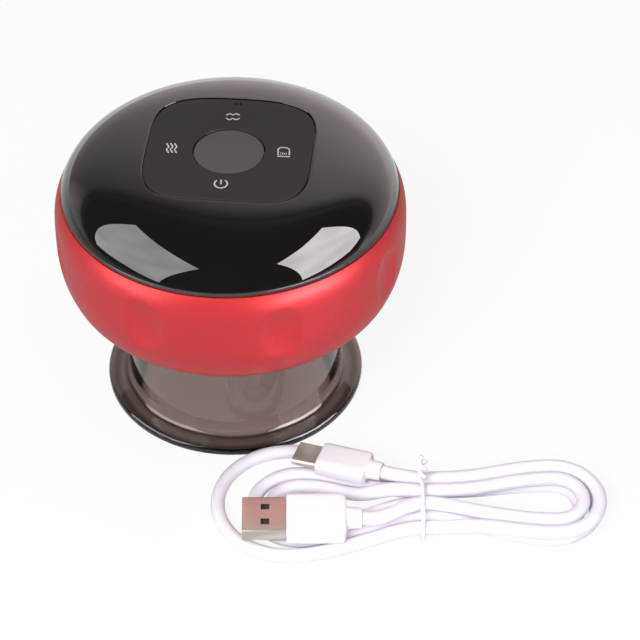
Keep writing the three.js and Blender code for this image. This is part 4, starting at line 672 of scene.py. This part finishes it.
def make_base_cover():
    deck, low, foot = BASE["deck"], HEAD["base"], BASE["collar_foot"]
    collar, skirt, rim, shoulder = BASE["collar"], BASE["skirt"], BASE["rim"], low + BASE["rim_thick"]
    collar_outer, skirt_outer = collar + BASE["collar_wall"], skirt + BASE["wall"]
    outline = bevelled([
        (collar, deck), (collar, foot), (collar_outer, foot), (collar_outer, deck),
        (skirt, deck), (skirt, low), (rim, low), (rim, shoulder),
        (skirt_outer, shoulder), (skirt_outer, deck + BASE["wall"]),
    ])
    piece = lathe("underside", [(0, deck), *outline, (0, deck + BASE["wall"])], 160, 32)
    below, above = 35, 42
    head, shank, seat = BASE["screw_head"], BASE["screw_shank"], BASE["screw_seat"]
    sink = [(0, below), (head + 0.15, below), (head, seat), (shank, seat), (shank, above), (0, above)]
    cutters = []
    for i in range(4):
        place = at(*polar(BASE["screws"], math.pi / 4 + i * math.pi / 2))
        cutters.append(lathe("sink", sink, 32, 35, place))
    slot = rounded_ring(3.6, 1.4, 0.65, 6)
    vent = [[(x + BASE["screws"], y, z) for x, y in slot] for z in (below, above)]
    for i in range(-2, 3):
        cutters.append(solid("vent", vent, 35, Matrix.Rotation(math.pi / 2 + i * 0.075, 4, "Z")))
    cut(piece, cutters)
    return piece


def make_ceiling():
    face, back = CEILING["face"], CEILING["back"]
    inner, outer = CEILING["lens_inner"], CEILING["lens_outer"]
    lens = lathe("lamp_lens", bevelled([
        (inner, face), (outer - 1.6, face), (outer, face + 0.8), (outer, back), (outer - 0.8, back),
        (outer - 0.8, face + 1.6), (inner, face + 1.6),
    ], 0.2))
    nozzle, edge = CEILING["nozzle"], CEILING["heat_outer"]
    heat = lathe("warming_plate", bevelled([
        (nozzle, face), (edge - 0.5, face), (edge, face + 0.5), (edge, back), (edge - 2.4, back),
        (edge - 2.4, face + 1.0), (nozzle, face + 1.0),
    ], 0.15))
    places = [at(*polar(CEILING["bleed_ring"], i * math.pi / 2)) for i in range(4)]
    cut(heat, [bore(CEILING["bleed"], 37, 42, 24, place) for place in places])
    return lens, heat


def make_suction_cup():
    wall, inner = CUP["wall_radius"], CUP["wall_radius"] - CUP["wall"]
    foot, edge, thick, fillet = CUP["foot_radius"], CUP["edge"], CUP["foot"], CUP["fillet"]
    top = CUP["height"]
    outline = [
        *arc((inner, CUP["mouth_depth"]), (inner, 0), (CUP["mouth_radius"], 0), 10),
        *arc((foot - edge, 0), (foot, 0), (foot, edge), 5),
        *arc((foot, thick - edge), (foot, thick), (foot - edge, thick), 5),
        *arc((wall + fillet, thick), (wall, thick), (wall, thick + fillet), 8),
        *arc((wall, top - 0.5), (wall, top), (wall - 0.5, top), 4),
        *arc((inner + 0.5, top), (inner, top), (inner, top - 0.5), 4),
    ]
    return lathe("clear_cup", outline, 360, 40)


def make_cup_seal():
    inner, outer, bulge = SEAL["inner"], SEAL["outer"], SEAL["bulge"]
    low, high = SEAL["low"], SEAL["high"]
    middle = (low + high) / 2
    outline = [
        (inner, low), (outer, low), (outer + bulge, middle), (outer, high), (inner, high),
        (inner - bulge, middle),
    ]
    return lathe("seal", bevelled(outline, 0.3, 3), 128)


top_cover = make_top_cover()
key_panel = make_key_panel()
display_window = make_window()
light_guide = make_light_pipe()
grip_ring = make_grip_ring()
base_cover = make_base_cover()
lamp_lens, heat_plate = make_ceiling()
suction_cup = make_suction_cup()
cup_seal = make_cup_seal()


# The printed symbols on the panel: strokes that follow its surface

def stroke(points, width):
    """A thin flat stroke with round-cut ends, on the panel's surface."""
    path = [Vector((*p, 0)) for p in points]
    fine = [path[0]]
    for a, b in zip(path, path[1:]):
        count = max(1, round((b - a).length / 0.25))
        fine += [a.lerp(b, k / count) for k in range(1, count + 1)]
    rows = []
    for i, here in enumerate(fine):
        along = (fine[min(i + 1, len(fine) - 1)] - fine[max(i - 1, 0)]).normalized()
        side = Vector((-along.y, along.x, 0)) * width / 2
        rows.append((here + side, here - side))
    for index, near in ((0, 1), (-1, -2)):
        along = (fine[index] - fine[near]).normalized()
        side = (rows[index][0] - rows[index][1]) / 2
        extra = []
        for reach, narrow in ((0.32, 0.77), (0.5, 0.25)):
            end = fine[index] + along * width * reach
            extra.append((end + side * narrow, end - side * narrow))
        rows = extra[::-1] + rows if index == 0 else rows + extra
    top, bottom = PANEL["sink"] - 0.03, PANEL["sink"] + 0.05
    rings = []
    for left, right in rows:
        rings.append([(p.x, p.y, dome_height(math.hypot(p.x, p.y)) - drop)
                      for p, drop in ((left, top), (right, top), (right, bottom), (left, bottom))])
    return skin(rings, caps=(True, True))


def symbol(name, strokes):
    points, faces = [], []
    for one_points, one_faces in strokes:
        start = len(points)
        points += one_points
        faces += [tuple(start + i for i in face) for face in one_faces]
    return mesh_object(name, points, faces, 35)


def arc_points(x, y, radius, start, end, steps=28):
    spokes = [polar(radius, math.radians(mix(start, end, i / steps))) for i in range(steps + 1)]
    return [(x + dx, y + dy) for dx, dy in spokes]


def turned(points, middle):
    """Points turned a little about the middle of their symbol."""
    turn = Matrix.Rotation(0.08, 2)
    return [tuple(turn @ (Vector(p[:2]) - Vector(middle)) + Vector(middle)) for p in points]


def make_symbols():
    x, y = -0.5, -14.7
    power = symbol("power_symbol", [
        stroke(turned(arc_points(x, y, 1.76, 135, 405), (x, y)), 0.44),
        stroke(turned([(x, y - 0.05), (x, y + 1.5)], (x, y)), 0.42),
    ])
    waves = []
    rows = 24
    for k in (-1, 0, 1):
        wave = []
        for i in range(rows + 1):
            share = i / rows
            across = -16.1 + k * 1.12 - 0.27 * math.cos(3 * math.pi * share) + 0.35 * (share - 0.5)
            wave.append((across, 2.0 - 4.0 * share))
        waves.append(stroke(wave, 0.44))
    heat = symbol("heat_symbol", waves)
    x, y = -0.7, 15.9
    half = [(-1.8, 0.82), (-1.35, 1.25), (-0.85, 1.52), (-0.35, 1.1)]
    half += [(0, 0.88)] + [(-dx, dy) for dx, dy in reversed(half)]
    mode = symbol("mode_symbol", [
        stroke(turned(smooth_path([Vector((x + dx, y + side * dy)) for dx, dy in half], 3), (x, y)), 0.42)
        for side in (1, -1)
    ])
    left, right, top, corner = 13.7, 16.85, 2.9, 1.1
    middle = ((left + right) / 2, 1.0)
    arch = [(left, -0.3), *arc_points(left + corner, top - corner, corner, 180, 90, 12),
            *arc_points(right - corner, top - corner, corner, 90, 0, 12), (right, -0.3)]
    marks = [(arch, 0.42), ([(left - 0.05, -1.1), (right + 0.05, -1.1)], 0.42)]
    marks += [([(left + 0.65 + k * 0.5, -0.35), (left + 0.85 + k * 0.5, 0.5)], 0.2) for k in range(4)]
    suction = symbol("suction_symbol", [stroke(turned(points, middle), width) for points, width in marks])
    return power, heat, mode, suction


symbols = make_symbols()


# Shader nodes

def feed(tree, socket, value):
    """Gives a socket its number, or the output that it is linked to."""
    if isinstance(value, float):
        socket.default_value = value
    else:
        tree.links.new(value, socket)


def math_node(tree, operation, *values):
    node = tree.nodes.new("ShaderNodeMath")
    node.operation = operation
    for socket, value in zip(node.inputs, values):
        feed(tree, socket, value)
    return node.outputs[0]


def length_node(tree, x, y):
    squares = math_node(tree, "MULTIPLY_ADD", x, x, math_node(tree, "MULTIPLY", y, y))
    return math_node(tree, "SQRT", squares)


def mix_node(tree, share, first, second):
    node = tree.nodes.new("ShaderNodeMix")
    for socket, value in (("Factor", share), ("A", first), ("B", second)):
        feed(tree, node.inputs[socket], value)
    return node.outputs["Result"]


def blend_node(tree, share, first, second):
    """Two shaders in one: the first where the share is 0 and the second where it is 1."""
    node = tree.nodes.new("ShaderNodeMixShader")
    for socket, value in zip(node.inputs, (share, first, second)):
        feed(tree, socket, value)
    return node.outputs[0]


def range_node(tree, value, *ends):
    """A value carried from one range to another."""
    node = tree.nodes.new("ShaderNodeMapRange")
    for socket, end in zip(("From Min", "From Max", "To Min", "To Max"), ends):
        node.inputs[socket].default_value = end
    feed(tree, node.inputs["Value"], value)
    return node.outputs["Result"]


def ramp_node(tree, value, stops):
    """A level that changes with the value, given as places from 0 to 1 with their levels."""
    node = tree.nodes.new("ShaderNodeValToRGB")
    elements = node.color_ramp.elements
    while len(elements) < len(stops):
        elements.new(0.5)
    for element, (place, level) in zip(elements, stops):
        element.position = place
        element.color = (level, level, level, 1)
    feed(tree, node.inputs["Fac"], value)
    return node.outputs["Color"]


def noise_node(tree, place, size, detail):
    node = tree.nodes.new("ShaderNodeTexNoise")
    node.inputs["Scale"].default_value = size
    node.inputs["Detail"].default_value = detail
    feed(tree, node.inputs["Vector"], place)
    return node.outputs["Fac"]


def glow_node(tree, kind, strength, tint=(1, 1, 1)):
    node = tree.nodes.new(kind)
    node.inputs["Color"].default_value = (*tint, 1)
    feed(tree, node.inputs["Strength"], strength)
    return node.outputs[0]


def place_node(tree, kind):
    return tree.nodes.new("ShaderNodeTexCoord").outputs[kind]


def split_node(tree, place):
    node = tree.nodes.new("ShaderNodeSeparateXYZ")
    feed(tree, node.inputs["Vector"], place)
    return node.outputs


def ray_kinds(tree, *kinds):
    """For each kind of ray, 1 where the shader is seen by it and 0 elsewhere."""
    node = tree.nodes.new("ShaderNodeLightPath")
    return [node.outputs[f"Is {kind} Ray"] for kind in kinds]


# Materials

def linear(red, green, blue):
    """A colour as it shows on a screen, 0 to 255, in the shader's terms."""
    values = []
    for level in (red, green, blue):
        v = level / 255
        values.append(v / 12.92 if v <= 0.04045 else ((v + 0.055) / 1.055) ** 2.4)
    return (*values, 1.0)


def surface(name, color, roughness=0.4, metallic=0.0, shade=0.06, patch=60.0, rough_spread=0.06,
            rough_scale=350.0, bump=0.0, grain=1500.0, stretch=(1, 1, 1), absorb=None, **sockets):
    """A shader whose colour, gloss and relief vary over the surface. absorb is a tint and its density."""
    made = bpy.data.materials.new(name)
    made.use_nodes = True
    tree = made.node_tree
    nodes, links = tree.nodes, tree.links
    shader = nodes["Principled BSDF"]
    shader.inputs["Metallic"].default_value = metallic
    for socket, value in sockets.items():
        shader.inputs[socket.replace("_", " ")].default_value = value
    scale = nodes.new("ShaderNodeMapping")
    scale.inputs["Scale"].default_value = stretch
    links.new(place_node(tree, "Object"), scale.inputs["Vector"])
    place = scale.outputs["Vector"]
    ramp = nodes.new("ShaderNodeValToRGB")
    for element, position, share in zip(ramp.color_ramp.elements, (0.32, 0.68), (1 - shade, 1 + shade)):
        element.position = position
        element.color = (*[min(c * share, 1) for c in color[:3]], 1)
    links.new(noise_node(tree, place, patch, 4.0), ramp.inputs["Fac"])
    links.new(ramp.outputs["Color"], shader.inputs["Base Color"])
    least, most = max(roughness - rough_spread, 0.0), roughness + rough_spread
    spread = range_node(tree, noise_node(tree, place, rough_scale, 3.0), 0.3, 0.7, least, most)
    links.new(spread, shader.inputs["Roughness"])
    if bump:
        relief = nodes.new("ShaderNodeBump")
        relief.inputs["Strength"].default_value = bump
        relief.inputs["Distance"].default_value = 0.0002
        links.new(noise_node(tree, place, grain, 2.0), relief.inputs["Height"])
        links.new(relief.outputs["Normal"], shader.inputs["Normal"])
    if absorb:
        inside = nodes.new("ShaderNodeVolumeAbsorption")
        inside.inputs["Color"].default_value = (*absorb[0], 1)
        inside.inputs["Density"].default_value = absorb[1]
        links.new(inside.outputs["Volume"], nodes["Material Output"].inputs["Volume"])
    return made


LOOKS = {
    "black_gloss": surface("gloss black", (0.0045, 0.0034, 0.0034, 1), 0.3, rough_spread=0.05, rough_scale=90,
                           bump=0.004, grain=120, Specular_IOR_Level=0.0, Coat_Weight=1.0, Coat_Roughness=0.0,
                           Coat_IOR=1.5),
    "satin_edge": surface("satin edge", (0.042, 0.038, 0.038, 1), 0.24, rough_spread=0.05, bump=0.05,
                          grain=1800),
    "panel_grey": surface("satin panel", linear(51, 45, 45), 0.42, rough_spread=0.04, bump=0.05, grain=2600,
                          patch=30, Specular_IOR_Level=0.2),
    "window_grey": surface("smoked window", linear(82, 76, 76), 0.3, rough_spread=0.03, bump=0.03, grain=2200,
                           patch=30, Specular_IOR_Level=0.3),
    "indicator": surface("unlit indicator", (0.012, 0.009, 0.009, 1), 0.15, rough_spread=0.04),
    "red_paint": surface("metallic red", (0.58, 0.02, 0.025, 1), 0.5, 0.6, shade=0.09, patch=2600,
                         rough_spread=0.05, bump=0.05, grain=4200, Coat_Weight=0.6, Coat_Roughness=0.35),
    "smoke_cup": surface("smoked clear", (0.97, 0.96, 0.955, 1), 0.0, shade=0.01, rough_spread=0.0,
                         rough_scale=120, absorb=((0.27, 0.075, 0.015), 600.0), IOR=1.49,
                         Transmission_Weight=1.0),
    "black_plastic": surface("matt black", linear(36, 35, 37), 0.5, bump=0.25, grain=2400, rough_spread=0.07),
    "white_plastic": surface("white moulding", linear(240, 237, 243), 0.42, shade=0.015, bump=0.05, grain=1800,
                             Subsurface_Weight=0.15, Subsurface_Scale=0.001),
    "plated_steel": surface("nickel plate", (0.57, 0.52, 0.46, 1), 0.24, 0.6, shade=0.05, rough_spread=0.03,
                            bump=0.015, grain=700, stretch=(1, 4, 4)),
    "steel": surface("zinc plate", (0.6, 0.59, 0.57, 1), 0.32, 1.0, shade=0.1, rough_spread=0.1, bump=0.06,
                     grain=900),
    "aluminium": surface("satin aluminium", (0.72, 0.72, 0.74, 1), 0.35, 1.0, shade=0.05, bump=0.1, grain=1600,
                         rough_spread=0.08),
    "copper": surface("copper winding", (0.62, 0.25, 0.1, 1), 0.35, 0.9, shade=0.2, patch=900, bump=0.5,
                      grain=1400, stretch=(3, 1, 1)),
    "magnet": surface("ferrite", linear(48, 48, 50), 0.6, 0.1, shade=0.15, bump=0.3, grain=1500),
    "circuit_board": surface("solder mask", linear(24, 86, 54), 0.35, shade=0.2, patch=500, bump=0.2,
                             grain=900),
    "silicone": surface("silicone", linear(214, 209, 200), 0.5, shade=0.04, bump=0.06, grain=900,
                        Transmission_Weight=0.2),
    "dark_rubber": surface("rubber", linear(42, 42, 44), 0.7, bump=0.2, grain=1600),
    "cell_wrap": surface("cell wrap", linear(42, 92, 158), 0.28, shade=0.06, bump=0.08, grain=300),
    "red_lens": surface("red lens", (0.32, 0.012, 0.015, 1), 0.16, shade=0.06, rough_spread=0.04,
                        Transmission_Weight=0.45),
    "foam": surface("foam", linear(148, 146, 142), 0.95, shade=0.25, patch=1200, bump=0.9, grain=2200),
    "nylon": surface("nylon", linear(222, 218, 208), 0.45, shade=0.03, bump=0.12, grain=1400,
                     Subsurface_Weight=0.1, Subsurface_Scale=0.001),
    "cable_jacket": surface("cable jacket", linear(240, 236, 246), 0.38, shade=0.012, patch=120,
                            rough_spread=0.05, bump=0.04, grain=900, Subsurface_Weight=0.12,
                            Subsurface_Scale=0.001),
    "symbol_print": surface("symbol print", linear(180, 178, 180), 0.5, shade=0.03, bump=0.05, grain=2000),
}


def dress(piece, slot, look=None):
    material = LOOKS[look or slot]
    data = piece.data
    if data.materials:
        for index in range(len(data.materials)):
            data.materials[index] = material
    else:
        data.materials.append(material)


def place_piece(piece, body, slot, *nodes, look=None):
    dress(piece, slot, look)
    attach(piece, body)
    if nodes:
        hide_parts(*nodes)


for row in frame["record"]["subparts"]:
    node = frame["nodes"][row["node"]]
    dress(node, row["material_slot"])

place_piece(cable, "cup", "cable_jacket", "charge_cable")
place_piece(cable_tie, "cup", "white_plastic", "cable_tie")
place_piece(usb_a_shell, "cup", "plated_steel", "usb_a_shell")
place_piece(usb_a_tongue, "cup", "white_plastic", "usb_a_tongue", look="window_grey")
place_piece(usb_a_grip, "cup", "white_plastic", "usb_a_overmould")
place_piece(usb_c_shell, "cup", "plated_steel", "usb_c_shell")
place_piece(usb_c_grip, "cup", "white_plastic", "usb_c_overmould")
place_piece(suction_cup, "cup", "smoke_cup", "suction_cup")
place_piece(top_cover, "head", "black_gloss", "top_cover")
place_piece(key_panel, "head", "panel_grey", "key_panel")
place_piece(display_window, "head", "window_grey", "display_window")
place_piece(light_guide, "head", "nylon", "light_pipe", look="indicator")
place_piece(grip_ring, "head", "red_paint", "grip_ring")
place_piece(base_cover, "head", "black_plastic", "base_cover")
place_piece(lamp_lens, "head", "red_lens", "lens_ring")
place_piece(heat_plate, "head", "aluminium", "heat_plate")
place_piece(cup_seal, "head", "silicone", "cup_seal")
for one in symbols:
    place_piece(one, "head", "panel_grey", look="symbol_print")


def dress_ledge():
    """The narrow ledge round the dome is satin, and the dome is polished."""
    mesh = top_cover.data
    mesh.materials.append(LOOKS["satin_edge"])
    ledge = len(mesh.materials) - 1
    for face in mesh.polygons:
        reach = math.hypot(face.center.x, face.center.y) / MM
        if reach > DOME["edge"] and face.center.z / MM > DOME["rim_underside"] - 0.2:
            face.material_index = ledge


dress_ledge()


# The floor, the lights and what the gloss shows

# How bright the floor is through the cup, by the distance from the cup's axis, where 1.0 is 100 mm: painted
# shade inside the cup and painted dark and bright rings below the flange
CUP_PAINTED_SHADE = [
    (0.0, 0.6), (0.22, 0.72), (0.29, 0.8), (0.31, 0.12), (0.325, 0.32), (0.34, 0.36), (0.352, 0.15),
    (0.362, 0.17), (0.37, 0.44), (0.378, 0.25), (0.385, 0.08), (0.4, 0.12), (0.44, 0.85), (1.0, 0.9),
]


def stage_material(name, build):
    made = bpy.data.materials.new(name)
    made.use_nodes = True
    tree = made.node_tree
    tree.nodes.clear()
    out = tree.nodes.new("ShaderNodeOutputMaterial")
    tree.links.new(build(tree), out.inputs["Surface"])
    return made


def floor_shader(tree):
    """White to the camera, with the object's shadow. What polish and glass see of it depends on the place, and
    glass sees painted shade and painted rings from the cup.
    """
    lit = tree.nodes.new("ShaderNodeBsdfDiffuse")
    lit.inputs["Color"].default_value = (0.9, 0.9, 0.9, 1)
    x, y, _ = split_node(tree, place_node(tree, "Object"))
    # Painted shade and painted rings that glass sees on the floor, by the distance from the cup's axis
    under = ramp_node(tree, math_node(tree, "MULTIPLY", length_node(tree, x, y), 10.0), CUP_PAINTED_SHADE)
    camera, glossy, sharp, through = ray_kinds(tree, "Camera", "Glossy", "Singular", "Transmission")
    share = math_node(tree, "MULTIPLY", camera, 0.88)
    share = math_node(tree, "MAXIMUM", share, math_node(tree, "MULTIPLY", glossy, 0.6))
    share = math_node(tree, "MAXIMUM", share, through)
    behind = math_node(tree, "MULTIPLY_ADD", x, 0.4, math_node(tree, "MULTIPLY", y, 0.9))
    far = range_node(tree, behind, -0.2, 0.6, 0.6, 2.9)
    bright = mix_node(tree, glossy, 1.0, mix_node(tree, sharp, 0.2, far))
    # Rays through glass see the painted shade and rings in place of the lit floor
    glow = glow_node(tree, "ShaderNodeEmission", mix_node(tree, through, bright, under))
    return blend_node(tree, share, lit.outputs["BSDF"], glow)


def card_shader(sharp, soft, side):
    """A softbox with folds in its cloth. Satin faces see its near end most, polish all of it or nothing."""
    def build(tree):
        place = place_node(tree, "Object")
        folds = range_node(tree, noise_node(tree, place, 4.0, 1.0), 0.3, 0.7, sharp * 0.85, sharp * 1.12)
        near = range_node(tree, split_node(tree, place)["Y"], side, side - 0.25, soft * 0.1, soft)
        mirrored = ray_kinds(tree, "Singular")[0]
        strength = mix_node(tree, mirrored, near, folds)
        glow = glow_node(tree, "ShaderNodeEmission", strength, (1.0, 0.94, 0.945))
        if sharp:
            return glow
        return blend_node(tree, mirrored, glow, tree.nodes.new("ShaderNodeBsdfTransparent").outputs[0])
    return build


def stage_sheet(name, corners, material):
    mesh = bpy.data.meshes.new(name)
    mesh.from_pydata(corners, [], [tuple(range(len(corners)))])
    piece = bpy.data.objects.new(name, mesh)
    scene.collection.objects.link(piece)
    mesh.materials.append(material)
    return piece


def make_stage():
    reach, level = 3.0, -0.0002
    corners = [(x * reach, y * reach, level) for x, y in ((-1, -1), (1, -1), (1, 1), (-1, 1))]
    stage_sheet("floor", corners, stage_material("floor", floor_shader))
    left = [
        (-0.703, -0.027, 0.277), (-0.319, 0.228, 0.658), (-0.262, -0.020, 0.731), (-0.143, -0.338, 0.695),
        (-0.376, -0.530, 0.423), (-0.437, -0.597, 0.148), (-0.628, -0.361, 0.223), (-0.719, -0.089, 0.197),
    ]
    right = [
        (0.274, 0.236, 0.679), (0.698, 0.068, 0.290), (0.720, -0.077, 0.214), (0.558, -0.489, 0.133),
        (0.471, -0.396, 0.476), (0.276, -0.238, 0.695), (0.297, 0.009, 0.720),
    ]
    low_right = [(0.39, -0.63, 0.005), (0.70, -0.22, 0.005), (0.70, -0.22, 0.19), (0.39, -0.63, 0.26)]
    low_left = [(-0.66, -0.28, 0.005), (-0.45, -0.58, 0.005), (-0.45, -0.58, 0.13), (-0.66, -0.28, 0.2)]
    cards = (("left_card", left, (6.2, 4.0, -0.1)), ("right_card", right, (14.0, 7.0, -0.15)),
             ("low_right_card", low_right, (0.0, 13.0, 0.3)), ("low_left_card", low_left, (0.0, 8.0, 0.3)))
    for name, corners, levels in cards:
        card = stage_sheet(name, corners, stage_material(name, card_shader(*levels)))
        card.visible_camera = False
        card.visible_diffuse = False
        card.visible_transmission = False
        card.visible_shadow = False


def make_light(name, place, target, size, power):
    data = bpy.data.lights.new(name, "AREA")
    data.shape = "SQUARE"
    data.size = size
    data.energy = power
    light = bpy.data.objects.new(name, data)
    scene.collection.objects.link(light)
    light.location = place
    light.rotation_euler = (Vector(target) - Vector(place)).to_track_quat("-Z", "Y").to_euler()
    light.visible_glossy = False
    light.visible_camera = False
    light.visible_transmission = False


# How bright the world is in the polish, by the direction round the object and by the height
ACROSS = [(0.0, 1.0), (0.28, 0.9), (0.45, 0.32), (0.6, 0.36), (0.75, 0.44), (0.9, 0.65), (1.0, 0.92)]
UP = [
    (0.0, 0.95), (0.14, 1.0), (0.24, 0.92), (0.34, 0.82), (0.5, 0.8), (0.62, 0.72), (0.72, 0.6),
    (0.78, 0.48), (0.8, 0.35), (0.816, 0.2), (0.84, 0.05), (0.86, 0.08), (0.9, 0.01), (1.0, 0.0),
]


def make_world():
    world = bpy.data.worlds.new("studio")
    scene.world = world
    world.use_nodes = True
    tree = world.node_tree
    tree.nodes.clear()
    x, y, z = split_node(tree, place_node(tree, "Generated"))
    flat = math_node(tree, "MAXIMUM", length_node(tree, x, y), 0.001)
    straight = math_node(tree, "MAXIMUM", math_node(tree, "DIVIDE", y, flat), 0.0)
    aside = math_node(tree, "MULTIPLY_ADD", x, 0.2, math_node(tree, "MULTIPLY", y, 0.9))
    across = ramp_node(tree, math_node(tree, "DIVIDE", aside, flat), ACROSS)
    height = math_node(tree, "MULTIPLY_ADD", straight, -0.8, math_node(tree, "ADD", z, 0.8))
    lean = math_node(tree, "MULTIPLY_ADD", x, 1.6, 2.9)
    product = math_node(tree, "MULTIPLY", across, ramp_node(tree, height, UP))
    gloss = math_node(tree, "MULTIPLY_ADD", product, lean, 0.12)

    def sky(strength, tint=(1, 1, 1)):
        return glow_node(tree, "ShaderNodeBackground", strength, tint)

    camera, glossy, sharp, through = ray_kinds(tree, "Camera", "Glossy", "Singular", "Transmission")
    shine = blend_node(tree, sharp, sky(0.35), sky(gloss, (1.0, 0.88, 0.88)))
    lit = blend_node(tree, glossy, sky(0.2), shine)
    whole = blend_node(tree, math_node(tree, "MAXIMUM", camera, through), lit, sky(1.0))
    out = tree.nodes.new("ShaderNodeOutputWorld")
    tree.links.new(whole, out.inputs["Surface"])


make_stage()
make_light("left_light", (-0.18, -0.66, 0.62), (0, 0, 0.04), 0.4, 6.9)
make_light("right_light", (0.35, -0.45, 0.5), (0, 0, 0.04), 0.3, 1.0)
make_light("top_light", (0.05, 0.1, 1.0), (0, 0, 0), 0.9, 3.0)
make_world()

scene.view_settings.view_transform = "Standard"
